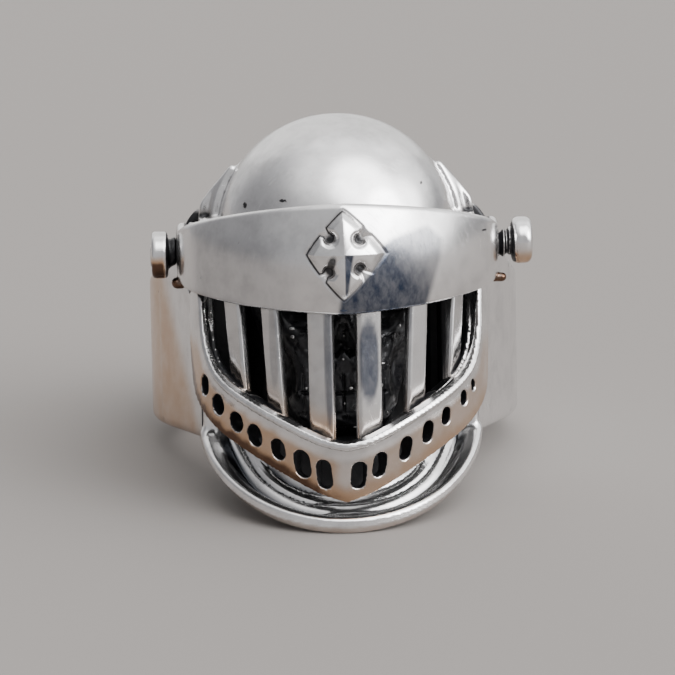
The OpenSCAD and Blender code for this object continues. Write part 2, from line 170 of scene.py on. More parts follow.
# Top of the collar where its channels are deepest. Columns: distance inward, height
COLLAR_CUT = [
    (-0.4, 0.10),
    (0.0, 0.36),
    (0.3, 0.50),
    (0.74, 0.52),
    (0.90, 0.20),
    (1.06, 0.12),
    (1.18, 0.24),
    (1.26, 0.54),
    (1.54, 0.90),
    (1.60, 0.90),
    (1.67, 0.64),
    (1.73, 0.68),
    (1.80, 1.00),
    (2.12, 1.38),
    (2.19, 1.38),
    (2.27, 1.10),
    (2.33, 1.14),
    (2.41, 1.50),
    (2.72, 1.90),
    (3.30, 2.50),
]
# Top of the collar where the channels have run out
COLLAR_PLAIN = [
    (-0.4, 0.10),
    (0.0, 0.36),
    (0.3, 0.50),
    (0.8, 0.54),
    (1.1, 0.78),
    (1.6, 1.1),
    (2.25, 1.56),
    (3.3, 2.5),
]
# How the channels change round the collar. Their darkness is partly oxide and partly painted shade and
# reflection.
# Columns: turn in degrees, depth, darkness, darkness of the thin lines
COLLAR_TURNS = [
    (-78, 0.0, 0.00, 0.0),
    (-74, 0.1, 0.95, 0.0),
    (-60, 0.5, 0.95, 0.6),
    (-46, 1.0, 0.88, 0.9),
    (-18, 1.0, 0.70, 0.7),
    (-4, 0.35, 0.15, 0.2),
    (4, 0.30, 0.50, 0.1),
    (12, 0.50, 0.50, 0.3),
    (22, 0.60, 0.15, 0.5),
    (58, 0.70, 0.20, 0.5),
    (68, 0.8, 0.35, 0.4),
    (74, 0.6, 0.92, 0.3),
    (81, 0.0, 0.00, 0.0),
]

# Height of the cross's middle above the rivets, and the lengths of its four arms
CROSS_Z = 0.66
CROSS_LEFT = 2.14
CROSS_RIGHT = 2.42
CROSS_BELOW = 2.74
CROSS_ABOVE = 2.54
# Notches between the arms of the cross. Columns: x, z from its middle
CROSS_NOTCHES = [(-0.84, 1.02), (1.00, 0.92), (-0.92, -1.06), (1.00, -0.90)]

# Painted dark reflection on the brow's lower right, beside the cross. Columns: x, z
PAINTED_REFLECTION_CORNERS = [
    (-0.6, -4.2),
    (-0.25, -2.2),
    (0.7, -0.6),
    (2.1, 0.9),
    (3.0, 1.5),
    (5.3, 2.2),
    (6.2, 1.3),
    (6.1, 0.0),
    (5.6, -1.5),
    (4.8, -4.2),
]

# Pits and nicks. Columns: x, f, z, half width, half height
PITS = [(-5.88, 4.25, 3.22, 0.14, 0.20), (-3.55, 6.3, 3.62, 0.28, 0.10), (5.2, 4.4, 4.4, 0.10, 0.10)]
BROW_NICKS = [(9.1, 5.3, 1.40, 0.26, 0.07), (-0.05, 11.0, -2.78, 0.26, 0.07)]

# Solder lumps under the brow's ears. Columns: x, f, z, half width, radius
LUMPS = [(-10.15, 0.5, -2.0, 0.50, 0.38), (10.18, 1.2, -2.0, 0.55, 0.30)]

# One side of the skull's front, from the temple down to the chin and back past the middle. Columns: x, z
SKULL_SIDE = [(5.6, 0.8), (5.6, -3.6), (4.9, -5.6), (3.7, -8.6), (2.6, -11.3), (-1, -11.3), (-1, 0.8)]
# One side of the skull's nose opening. Columns: x, z
SKULL_NOSE = [(-0.5, -4.0), (0.15, -4.0), (0.9, -5.8), (0.4, -6.15), (0, -5.7), (-0.5, -5.7)]


def size_in_mm(name, description, default):
    """A size in the panel, whose default is given in millimetres."""
    return FloatProperty(name=name, description=description, default=default * MM, unit="LENGTH")


def tint(name, description, default):
    return FloatVectorProperty(name=name, description=description, subtype="COLOR", size=3, default=default)


class HelmetSizes(bpy.types.PropertyGroup):
    """Sizes of the ring that the pieces are made from"""

    bore_r: size_in_mm("Bore radius", "Inner radius of the band", 10.1)
    band_wall: size_in_mm("Band wall", "Thickness of the band", 2.15)
    band_drop: size_in_mm("Band drop", "Rivets' axis above the band's edge", 12.3)
    dome_r: size_in_mm("Dome radius", "Outer radius of the dome", 7.6)
    dome_z: size_in_mm("Dome height", "Dome's centre above the rivets", 1.0)
    cheek_x: size_in_mm("Cheek half width", "Half width between the ears", 8.8)
    ridge_f: size_in_mm("Brow reach", "Brow's ridge in front of the rivets", 11.6)
    brow_arc_r: size_in_mm("Brow arc", "Radius of each half of the brow", 15.0)
    brow_x: size_in_mm("Brow half width", "Half width over the ears", 10.35)
    brow_t: size_in_mm("Brow thickness", "Thickness of the brow", 0.75)
    brow_top: size_in_mm("Brow top", "Upper edge at the ridge, above the rivets", 4.0)
    brow_low: size_in_mm("Brow low", "Lower edge at the ridge, below the rivets", 3.2)
    cross_h: size_in_mm("Cross height", "Cross above the brow", 0.35)
    bar_t: size_in_mm("Bar thickness", "Thickness of a bar", 0.65)
    pin_r: size_in_mm("Rivet radius", "Radius of the rivets' shafts", 0.65)
    head_r: size_in_mm("Head radius", "Radius of the rivets' heads", 1.5)
    crumbs: IntProperty(name="Crumbs", description="Casting crumbs on the skull's face", default=34, min=0)


class HelmetColours(bpy.types.PropertyGroup):
    """Colours of the metal, its stains and painted warm reflections, and the stage"""

    silver: tint("Silver", "Polished silver", (0.86, 0.85, 0.85))
    oxide: tint("Oxide", "Blackened silver", (0.012, 0.012, 0.014))
    # The tan and the brown are mostly painted warm reflections on the low and left faces; the brown is also
    # the solder lumps' stain
    tan: tint("Tan stain", "Warm stain on the visor", (0.60, 0.40, 0.26))
    brown: tint("Brown stain", "Dark stain on edges and lumps", (0.13, 0.075, 0.05))
    floor: tint("Floor", "Pale floor", (0.212, 0.197, 0.187))


def millimetres():
    """The property group's sizes in millimetres, with the values that follow from them."""
    group = bpy.context.scene.helmet_sizes
    s = SimpleNamespace()
    for name in HelmetSizes.__annotations__:
        value = getattr(group, name)
        setattr(s, name, value if name == "crumbs" else value / MM)
    s.band_r = s.bore_r + s.band_wall
    s.pivot_d = s.bore_r + PIVOT_GAP
    s.bar_arc_r = s.brow_arc_r - BAR_INSET - s.bar_t / 2
    bend = np.array(BEND)
    chord = np.array([-bend[0], s.ridge_f - bend[1]])
    across = np.hypot(*chord)
    sink = math.sqrt(s.brow_arc_r**2 - (across / 2) ** 2)
    s.arc_x = bend[0] / 2 - sink * chord[1] / across
    s.arc_f = (s.ridge_f + bend[1]) / 2 + sink * chord[0] / across
    return s


# Fields: each takes arrays x, f and z in millimetres and gives a distance, negative inside the metal


def smin(a, b, k):
    """The smaller of two distances with a fillet of about k between them."""
    h = np.clip(0.5 + 0.5 * (b - a) / k, 0, 1)
    return b + (a - b) * h - k * h * (1 - h)


def smax(a, b, k):
    """The larger of two distances with a rounding of about k between them."""
    return -smin(-a, -b, k)


def ramp(low, high, value):
    """A smooth step from 0 at low to 1 at high."""
    t = np.clip((value - low) / (high - low), 0, 1)
    return t * t * (3 - 2 * t)


def polygon_distance(a, b, corners):
    """Signed distance to a closed polygon, whose corners are pairs of numbers or pairs of arrays."""
    best = np.full(a.shape, 1e9, a.dtype)
    odd = np.zeros(a.shape, bool)
    last = corners[-1]
    for corner in corners:
        ea, eb = last[0] - corner[0], last[1] - corner[1]
        wa, wb = a - corner[0], b - corner[1]
        t = np.clip((wa * ea + wb * eb) / (ea * ea + eb * eb + 1e-12), 0, 1)
        best = np.minimum(best, (wa - ea * t) ** 2 + (wb - eb * t) ** 2)
        crossing = (wb >= 0) != (b - last[1] >= 0)
        turn = ea * wb - eb * wa
        odd ^= crossing & ((turn > 0) == (eb > 0))
        last = corner
    return np.where(odd, -1, 1) * np.sqrt(best)


def masked(mask, far, field, x, f, z):
    """A field worked out only where the mask holds, and far elsewhere."""
    out = np.full(x.shape, far, x.dtype)
    at = np.nonzero(mask)[0]
    if len(at):
        out[at] = field(x[at], f[at], z[at])
    return out


def ball_field(x, f, z, centre, radius):
    return np.sqrt((x - centre[0]) ** 2 + (f - centre[1]) ** 2 + (z - centre[2]) ** 2) - radius


def hollow_field(s, x, f, z):
    """The hollow of the helmet, open at the face."""
    half_width, back, low = 6.4, -1, -11.4
    rho = np.hypot(x, f + s.pivot_d)
    ball = np.sqrt(x * x + f * f + (z - s.dome_z) ** 2) - (s.dome_r - HOLLOW_WALL)
    box = np.maximum(np.maximum(np.abs(x) - half_width, back - f), np.maximum(z - FACE_TOP, low - z))
    return np.maximum(smin(ball, box, FILLET), s.bore_r + HOLLOW_WALL - rho)


def collar_place(x, f):
    """The turn in degrees of the nearest point on the collar's edge, the place inward of it, and its f."""
    a, b = COLLAR_X, COLLAR_F
    t = np.arctan2(x / a, f / b)
    for _ in range(5):
        sin, cos = np.sin(t), np.cos(t)
        dx, df = x - a * sin, f - b * cos
        slope = dx * a * cos - df * b * sin
        bend = -dx * a * sin - (a * cos) ** 2 - df * b * cos - (b * sin) ** 2
        t = t - slope / np.minimum(bend, -1)
    sin, cos = np.sin(t), np.cos(t)
    nx, nf = sin / a, cos / b
    inward = -((x - a * sin) * nx + (f - b * cos) * nf) / np.hypot(nx, nf)
    turn = np.degrees(t)
    # The profile is stretched at the sides: first its rim, from 0.3 mm inward, then its channel, from 0.85 mm
    for start, reach, most in ((0.3, 0.4, 0.12 * ramp(40, 70, np.abs(turn))),
                               (0.85, 0.28, 0.30 * ramp(30, 68, np.abs(turn)))):
        inward = inward - most * np.clip((inward - start) / (reach + most), 0, 1)
    return turn, inward, b * cos


def collar_profiles():
    """The two profiles of the collar's top as smooth curves: places, then height and slope of each."""
    step, blur, reach = 0.01, 0.055, 20
    places = np.linspace(-1.0, 4.0, 501)
    kernel = np.exp(-0.5 * (np.arange(-reach, reach + 1) * step / blur) ** 2)
    kernel /= kernel.sum()
    curves = [places]
    for table in (COLLAR_CUT, COLLAR_PLAIN):
        columns = np.array(table)
        height = np.interp(places, columns[:, 0], columns[:, 1])
        height = np.convolve(np.pad(height, reach, mode="edge"), kernel, mode="valid")
        curves += [height, np.gradient(height, places)]
    return curves


PROFILES = collar_profiles()


def collar_turns(turn, inward, column):
    """A column of the collar's table at a turn round it: the channels run out sooner further inward."""
    table = np.array(COLLAR_TURNS)
    slid = turn - np.sign(turn) * CHANNEL_SLANT * np.clip(inward - 1, 0, 2)
    return np.interp(slid, table[:, 0], table[:, column])


def collar_field(x, f, z):
    """The collar: a rolled edge and two plates with channels between them, that run out at the sides."""
    edge_z, slant = 11.2, 0.52
    turn, inward, edge_f = collar_place(x, f)
    height = z + edge_z + slant * edge_f
    places, cut, cut_slope, plain, plain_slope = PROFILES
    deep = collar_turns(turn, inward, 1)
    top = np.interp(inward, places, plain) * (1 - deep) + np.interp(inward, places, cut) * deep
    slope = np.interp(inward, places, plain_slope) * (1 - deep) + np.interp(inward, places, cut_slope) * deep
    upper = (height - top) / np.sqrt(1 + slope**2)
    body = smax(upper, polygon_distance(inward, height, COLLAR_UNDER), 0.12)
    degree = 0.16
    return smax(body, np.abs(turn) * degree - COLLAR_END * degree, 0.2).astype(x.dtype)


def side_and_plan(s, x, f, z):
    """The band with the cheeks and shoulders of the helmet, before the dome and the bore."""
    ax = np.abs(x)
    y = -(f + s.pivot_d)
    # Flats from the round of the band to the cheeks
    corner = np.array([s.cheek_x + 0.15, -s.pivot_d + 0.2])
    turn = math.atan2(corner[1], corner[0]) + math.acos(s.band_r / np.hypot(*corner))
    flat = ax * math.cos(turn) + y * math.sin(turn) - s.band_r
    wedge = np.maximum(np.maximum(flat, f + 0.2), -f - s.pivot_d - s.band_r * math.sin(turn))
    cheek = smax(ax - s.cheek_x, f - CHEEK_F, 0.4)
    round_wall = np.hypot(x, y) - s.band_r
    plan = smin(round_wall, np.minimum(wedge, np.maximum(cheek, -f - s.pivot_d)), FILLET)
    # The band's upper edge tapers to the rear and sweeps up in an arc to the shoulders
    taper, sweep_r = math.radians(11), 10.8
    dy, dz = y - 0.2, z - 8.4
    py, pz = dy + sweep_r * math.sin(taper), dz + sweep_r * math.cos(taper)
    along = py * math.cos(taper) - pz * math.sin(taper)
    above = py * math.sin(taper) + pz * math.cos(taper)
    upper = np.where(along > 0, above, sweep_r - np.hypot(dy, dz))
    edge_round = 0.7
    body = smax(plan, upper, edge_round)
    body = smax(body, -s.band_drop - z, edge_round)
    # The shoulders slope down to the rivets, through a point 6.7 mm out and 5.5 mm up, under a flat top
    slope = np.array([7.9, 6.3]) / math.hypot(7.9, 6.3)
    front = smax(ax * slope[0] + z * slope[1] - 6.7 * slope[0] - 5.5 * slope[1], z - 5.8, 0.9)
    body = smax(body, front, 0.35)
    # Room for the visor's side plates in front of the shoulders
    temple = smin(f + 0.7, z + 2.2, FILLET)
    return smax(body, temple, FILLET)


def bead_ends(turn):
    """Distance past the ends of the bead behind the dome."""
    return np.maximum(BEAD_START - turn, turn - BEAD_END) * 7.9


def ring_field(s, x, f, z):
    """The cast body: band, cheeks, shoulders, dome, beads, pads, collar and neck, bored and hollowed."""
    ax = np.abs(x)
    rho = np.hypot(x, f + s.pivot_d)
    pivot = np.hypot(f, z)
    body = side_and_plan(s, x, f, z)
    up = z - s.dome_z
    dome_back = -2.4
    dome = np.sqrt(x * x + f * f + up * up) - s.dome_r
    dome = smax(dome, smin(f - CHEEK_F, FACE_TOP - z, FILLET), 0.25)
    dome = smax(dome, dome_back - f, FILLET)
    body = smin(body, dome, 0.25)
    # The bead thins to its upper end, and a channel follows it
    in_face = np.hypot(x, up)
    turn = np.arctan2(up, ax)
    ends = bead_ends(turn)
    thin = 0.26 * ramp(math.radians(16), BEAD_END, turn)
    bead = smax(np.hypot(in_face - BEAD_R, f - BEAD_F) - 0.40 + thin, ends, FILLET)
    channel = smax(np.hypot(in_face - CHANNEL_R, f - CHANNEL_F) - 0.26, ends - 0.1, FILLET)
    body = smax(body, -channel, 0.22)
    body = smin(body, bead, 0.26)
    # Room for the ears to turn outside the cheeks, and the pads that the rivets pass through
    turn_r, turn_back, pad_r = 3.3, -1.95, 2.1
    body = smax(body, np.minimum(np.minimum(turn_r - pivot, ax - s.cheek_x), f - turn_back), FILLET)
    body = smin(body, np.maximum(pivot - pad_r, ax - s.cheek_x), FILLET)
    # The neck is an oval post that joins the cheeks to the collar
    neck_x, neck_f, neck_r, neck_top, neck_low = 6.7, 7.5, 7, -11.4, 12.3
    neck = smax(np.hypot(x / neck_x, f / neck_f) * neck_r - neck_r, z - neck_top, FILLET)
    neck = np.maximum(neck, np.maximum(-0.5 - f, -z - neck_low - 0.393 * np.maximum(f, 0)))
    body = smin(body, neck, FILLET)
    near = (f > 0.2) & (z < -8) & (rho > 9)
    collar = masked(near, 2.0, collar_field, x, f, z)
    body = smin(body, collar, 0.35)
    # The bore flares a little towards its upper end
    flare_z, flare = -1, 0.05
    bore = s.bore_r + np.maximum(z - flare_z, 0) * flare
    body = smax(body, bore - rho, 0.6)
    body = smax(body, -hollow_field(s, x, f, z), 0.2)
    return np.maximum(body, np.minimum(s.pin_r + 0.02 - pivot, ax - 7))


def brow_surface(s, x, f, z):
    """Distance to the brow's outer surface of revolution round the rivets."""
    ridge_round, ear_round = 0.2, 1.1
    ax = np.sqrt(x * x + ridge_round**2) - ridge_round / 2
    out = np.hypot(f, z)
    arc = np.hypot(ax - s.arc_x, out - s.arc_f) - s.brow_arc_r
    return smax(arc, np.abs(x) - s.brow_x, ear_round)


def cross_edge(x, z):
    """Distances to the outline of the cross and to the notches between its arms."""
    notch_r, mouth_half, mouth_flare, diagonal = 0.34, 0.16, 0.42, 0.707
    u = np.abs(x) / np.where(x < 0, CROSS_LEFT, CROSS_RIGHT)
    w = np.abs(z) / np.where(z < 0, CROSS_BELOW, CROSS_ABOVE)
    bulge, scale = 1.12, 1.75
    edge = ((u**bulge + w**bulge) ** (1 / bulge) - 1) * scale
    notch = np.full(x.shape, 9.0, x.dtype)
    for nx, nz in CROSS_NOTCHES:
        dx, dz = (x - nx) * math.copysign(1, nx), (z - nz) * math.copysign(1, nz)
        ball = np.hypot(dx, dz) - notch_r
        out = (dx + dz) * diagonal
        mouth = np.maximum(np.abs(dx - dz) * diagonal - mouth_half - mouth_flare * np.maximum(out, 0), -out)
        notch = np.minimum(notch, smin(ball, mouth, 0.15))
    return edge, notch


def cross_height(s, x, z):
    """Height of the cross over the brow, with a fine groove round it."""
    notch_depth, groove_depth, roof_slope, roof_width, arm_drop = 0.16, 0.03, 0.16, 1.1, 0.05
    edge, notch = cross_edge(x, z)
    arm = np.minimum(np.abs(x), np.abs(z))
    within = ramp(0.25, -0.35, edge)
    sunk = within * ramp(0.12, -0.20, notch) * notch_depth
    edge = smax(edge, -notch, 0.14)
    raised = ramp(0.10, -0.30, edge)
    groove = ramp(0.20, 0.02, np.abs(edge - 0.10)) * groove_depth
    roof = roof_slope * np.minimum(arm, roof_width) + arm_drop * ramp(1.2, 2.6, np.hypot(x, z))
    return raised * (s.cross_h - roof) - groove - sunk


def lumps_field(x, f, z):
    """The two solder lumps: short rods with round ends, a little drawn out forward."""
    out = np.full(x.shape, 9.0, x.dtype)
    for lx, lf, lz, half, r in LUMPS:
        side = np.maximum(np.abs(x - lx) - half + r, 0)
        out = np.minimum(out, np.sqrt(side**2 + ((f - lf) * 0.7) ** 2 + (z - lz) ** 2) - r)
    return out


def brow_field(s, x, f, z):
    """The brow visor with its ridge, ears and cross."""
    skin = brow_surface(s, x, f, z)
    inner = skin + s.brow_t
    lift = (s.brow_top - FACE_TOP) / s.ridge_f
    drop = (s.brow_low - EAR_R) / s.ridge_f
    cross_room = 3.4
    fronted = (f > 5) & (np.abs(x) < cross_room) & (np.abs(z - CROSS_Z) < cross_room)
    height = masked(fronted, 0.0, lambda px, pf, pz: cross_height(s, px, pz - CROSS_Z), x, f, z)
    skin = skin - height
    upper = (z - FACE_TOP - lift * f) / math.hypot(1, lift)
    lower = (-EAR_R - drop * f - z) / math.hypot(1, drop)
    wedge = smax(np.maximum(upper, lower), -f, 0.2)
    ear = np.hypot(f, z) - EAR_R
    reach = smin(wedge, ear, 0.5)
    shell = smax(skin, -inner, FILLET)
    body = smax(shell, reach, 0.42)
    body = smin(body, lumps_field(x, f, z), 0.15)
    return np.maximum(body, s.pin_r + HOLE_GAP - np.hypot(f, z))


class VisorFrame:
    """Sections of the visor's frame, and the distance to the band that runs through them."""

    def __init__(self, s):
        self.s = s
        count = (len(FRAME_ROWS) - 1) * FRAME_STEPS
        rows = [self.row(i / FRAME_STEPS) for i in range(count + 1)]
        self.sections = [self.section(row) for row in rows]
        for i, section in enumerate(self.sections):
            after = self.sections[min(i + 1, count)][0] - self.sections[max(i - 1, 0)][0]
            if np.dot(section[3], after) < 0:
                section[3] = -section[3]

    @staticmethod
    def row(place):
        """The rows of the table joined by a smooth curve."""
        last = len(FRAME_ROWS) - 1
        i = min(int(place), last - 1)
        t = place - i
        a, b, c, d = (np.array(FRAME_ROWS[min(max(j, 0), last)]) for j in (i - 1, i, i + 1, i + 2))
        return 0.5 * (2 * b + t * (c - a + t * (2 * a - 5 * b + 4 * c - d + t * (3 * b - a - 3 * c + d))))

    def way_out(self, x, f):
        """The way straight out of the helmet, which turns forward near the middle."""
        way = np.array([x - self.s.arc_x * min(1, x / 2), f - self.s.arc_f, 0])
        return way / np.linalg.norm(way)

    def section(self, row):
        """Crest, outward and upward axes, the section's normal, and its corners."""
        crest, edge, deep, rim = row[:3], row[3:6], row[6], row[7]
        length = np.linalg.norm(crest - edge)
        up = (crest - edge) / length
        way = self.way_out(*crest[:2])
        out = way - up * np.dot(way, up)
        out /= np.linalg.norm(out)

        def flat(vector):
            return np.array([np.dot(vector, out), np.dot(vector, up)])

        rise = np.array([0, 0, 1.0])
        corners = [
            # Over the rim, down into the gutter behind it and to the back
            np.array([-0.10, -0.04]),
            flat(-way * rim * 0.70 + rise * 0.12),
            flat(-way * rim + rise * 0.04),
            flat(-way * (rim + 0.10) - rise * 0.36),
            flat(-way * (rim + 0.26) - rise * 0.40),
            flat(-way * (rim + 0.36) - rise * 0.22),
            flat(-way * (rim + 0.50) - rise * 0.24),
            flat(-way * max(deep, rim + 0.55) - rise * 0.50),
            # The lower edge, and up the front face with a groove under the crest
            flat(edge - crest - way * 0.56 + rise * 0.2),
            np.array([0.0, -length]),
            np.array([0.03, -0.62 * length]),
            np.array([0.0, -1.20]),
            np.array([-0.10, -0.82]),
            np.array([-0.13, -0.50]),
            np.array([0.0, -0.36]),
            np.array([0.03, -0.22]),
        ]
        return [crest, out, up, np.cross(out, up), np.array(corners)]

    def field(self, x, f, z):
        """Distance to the band, worked out between each pair of sections."""
        middle_round, cap_reach, section_middle, section_reach = 0.12, 1.5, 1.5, 3.7
        out = np.full(x.shape, 2.5, x.dtype)
        near = np.nonzero((f > -3) & (z < 3.5) & (np.abs(x) < 11) & (f < 13))[0]
        px = np.sqrt(x[near] ** 2 + middle_round**2)
        pf, pz = f[near], z[near]
        value = out[near]

        def past(section):
            crest, normal = section[0], section[3]
            return (px - crest[0]) * normal[0] + (pf - crest[1]) * normal[1] + (pz - crest[2]) * normal[2]

        before = past(self.sections[0])
        top = np.nonzero((before < 0) & (before > -cap_reach))[0]
        self.measure(value, top, self.sections[0], self.sections[0], np.zeros(len(top)), px, pf, pz, -before)
        for a, b in zip(self.sections, self.sections[1:]):
            after = past(b)
            middle = (a[0] + b[0]) / 2 - a[2] * section_middle
            away = (px - middle[0]) ** 2 + (pf - middle[1]) ** 2 + (pz - middle[2]) ** 2
            last = b is self.sections[-1]
            at = np.nonzero((before >= 0) & ((after < 0) | last) & (away < section_reach**2))[0]
            t = np.clip(before[at] / np.maximum(before[at] - after[at], 1e-6), 0, 1)
            self.measure(value, at, a, b, t, px, pf, pz)
            before = after
        out[near] = value
        return out

    @staticmethod
    def measure(value, at, a, b, t, px, pf, pz, cap=None):
        """Lowers the values at some points to the distance from the section at share t from a to b."""
        if not len(at):
            return
        edge_round = 0.05
        t = t.astype(px.dtype)
        mix = [[a[k][j] + (b[k][j] - a[k][j]) * t for j in range(3)] for k in range(3)]
        d = [px[at] - mix[0][0], pf[at] - mix[0][1], pz[at] - mix[0][2]]
        outward = d[0] * mix[1][0] + d[1] * mix[1][1] + d[2] * mix[1][2]
        upward = d[0] * mix[2][0] + d[1] * mix[2][1] + d[2] * mix[2][2]
        corners = [[p[k] + (q[k] - p[k]) * t for k in (0, 1)] for p, q in zip(a[4], b[4])]
        found = polygon_distance(outward, upward, corners) - edge_round
        if cap is not None:
            found = np.maximum(found, cap[at])
        value[at] = np.minimum(value[at], found)

    def share_down(self, points):
        """How far down the band each point is: 0 at the crest and 1 at the lower edge."""
        side = points.copy()
        side[:, 0] = np.abs(side[:, 0])
        share = np.zeros(len(points))
        total = np.zeros(len(points))
        for crest, _, up, normal, corners in self.sections:
            away = side - crest
            gap = np.abs(away @ normal) + np.maximum(np.linalg.norm(away, axis=1) - 4, 0)
            weight = 1 / (gap + 0.12) ** 3
            share += weight * (away @ up) / corners[:, 1].min()
            total += weight
        return share / total

    def slots(self, x, f, z):
        """The slots of the chin band, cut along the way straight out of the helmet."""
        cut_out, cut_in = 1, 3.2
        out = np.full(x.shape, 2.0, x.dtype)
        for side, place, share, width, height in SLOTS:
            row = self.row(place)
            at = row[:3] + (row[3:6] - row[:3]) * share
            way = self.way_out(at[0], at[1])
            dx, df, dz = side * x - at[0], f - at[1], z - at[2]
            along = dx * way[0] + df * way[1]
            across = dx * way[1] - df * way[0]
            straight = max(height - width, 0) / 2
            hole = np.hypot(across, np.maximum(np.abs(dz) - straight, 0)) - width / 2
            out = np.minimum(out, np.maximum(hole, np.maximum(along - cut_out, -along - cut_in)))
        return out


def grille_field(s, visor, x, f, z):
    """The frame of the visor with its slots, hidden rail and ears."""
    ax = np.abs(x)
    pivot = np.hypot(f, z)
    body = visor.field(x, f, z)
    low = (z < -5) & (f > -1)
    slots = masked(low, 2.0, visor.slots, x, f, z)
    body = smax(body, -slots, 0.16)
    # Behind the face's opening and round the ears, nothing stands inside the side plates
    face_f, ear_room = 1.9, 2.4
    body = smax(body, np.minimum(PLATE_IN - ax, face_f - f), 0.1)
    body = smax(body, np.minimum(ear_room - pivot, PLATE_IN - ax), 0.1)
    # The rail that carries the bars, hidden by the brow
    rail_in, rail_half, rail_low, rail_back = 1.35, 0.3, 1.6, 2.5
    skin = np.hypot(ax - s.arc_x, f - s.arc_f) - s.brow_arc_r
    rail = np.maximum(
        np.abs(skin + rail_in) - rail_half,
        np.maximum(np.maximum(-rail_low - z, z - FACE_TOP), rail_back - f))
    body = smin(body, rail, 0.2)
    ear = smax(np.maximum(ax - PLATE_OUT, PLATE_IN + 0.04 - ax), pivot - EAR_R, 0.15)
    body = smin(body, ear, 0.2)
    return np.maximum(body, s.pin_r + HOLE_GAP - pivot)


def bars_field(s, x, f, z):
    """The bars, for the shade that they throw on their neighbours."""
    out = np.full(x.shape, 2.0, x.dtype)
    for side, turn, width, lean in BARS:
        t = math.radians(turn)
        dx, df = side * x - s.arc_x, f - s.arc_f
        slide = (z - BAR_SHADE_TOP) * math.tan(math.radians(lean))
        across = dx * math.cos(t) - df * math.sin(t) - slide
        along = dx * math.sin(t) + df * math.cos(t) - s.bar_arc_r
        box = np.maximum(np.abs(across) - width / 2, np.abs(along) - s.bar_t / 2)
        out = np.minimum(out, np.maximum(box, np.maximum(z - BAR_SHADE_TOP, BAR_SHADE_LOW - z)))
    return out


def skull_field(s, x, f, z):
    """A plain skull: brow ridge, sockets, cheekbones, nose opening and two rows of teeth."""
    ax = np.abs(x)
    rho = np.hypot(x, f + s.pivot_d)
    up = z - SKULL_Z
    cranium_f, cranium_r, face_inset = 0.2, 5.5, 3.2
    cranium = np.sqrt(x * x + (f - cranium_f) ** 2 + up * up) - cranium_r
    skin = np.hypot(ax - s.arc_x, f - s.arc_f) - (s.brow_arc_r - face_inset)
    outline = polygon_distance(ax, z, SKULL_SIDE)
    face = smax(smax(skin, outline, 1.0), ball_field(x, f, z, (0, -0.8, -5), 9), 0.8)
    body = smin(cranium, face, 0.6)
    socket_x, socket_f, socket_z, socket_r = 2.45, 7.4, -3.0, 1.75
    deep, high = (f - socket_f) * 0.8, (z - socket_z) * 1.1
    socket = np.sqrt((ax - socket_x) ** 2 + deep**2 + high**2) - socket_r
    body = smax(body, -socket, 0.5)
    cheek_hollow, cheek_hollow_r = (5.2, 5.9, -7.3), 2.2
    body = smax(body, -ball_field(ax, f, z, cheek_hollow, cheek_hollow_r), 0.7)
    nose_back = 5.8
    body = smax(body, -np.maximum(polygon_distance(ax, z, SKULL_NOSE), nose_back - f), 0.25)
    # Teeth: a shallow groove between each two of a row, and a deeper one between the rows
    tooth_width, upper_row, lower_row = 0.84, -7.75, -9.05
    tooth = np.abs((ax / tooth_width) % 1 - 0.5) * tooth_width
    row_z = np.minimum(np.abs(z - upper_row), np.abs(z - lower_row))
    front = ramp(5, 6, f)
    in_rows = ramp(0.75, 0.45, row_z) * ramp(2.7, 2.3, ax) * front
    body = body + in_rows * (0.22 * ramp(0.28, 0.42, tooth) - 0.06)
    bite = ramp(0.18, 0.04, np.abs(z - BITE_Z)) * ramp(2.9, 2.4, ax) * front
    body = body + 0.28 * bite
    # Faint lumps of the casting
    body = body + 0.03 * np.sin(5.1 * x + 1.3 * z) * np.sin(4.3 * z + 0.7 * f) * np.sin(4.7 * f)
    return smax(body, s.bore_r + 1.6 - rho, 0.2)


def rivets_field(s, x, f, z):
    return np.minimum(rivet_field(s, -1, x, f, z), rivet_field(s, 1, x, f, z))


# Meshing

# Points that a field is worked out for at once, and the step in millimetres that its slope is taken over
CHUNK = 600000
SLOPE_STEP = 0.015


def spaced(stops):
    """Grid places from stops of (place, spacing): the spacing changes evenly between them."""
    places = [stops[0][0]]
    for (a, da), (b, db) in zip(stops, stops[1:]):
        while places[-1] < b - 1e-6:
            share = min(max((places[-1] - a) / (b - a), 0), 1)
            places.append(places[-1] + da + (db - da) * share)
    return np.array(places, np.float32)


def mirrored(stops):
    """Grid places on both sides of the middle."""
    half = spaced(stops)
    return np.concatenate([-half[:0:-1], half])


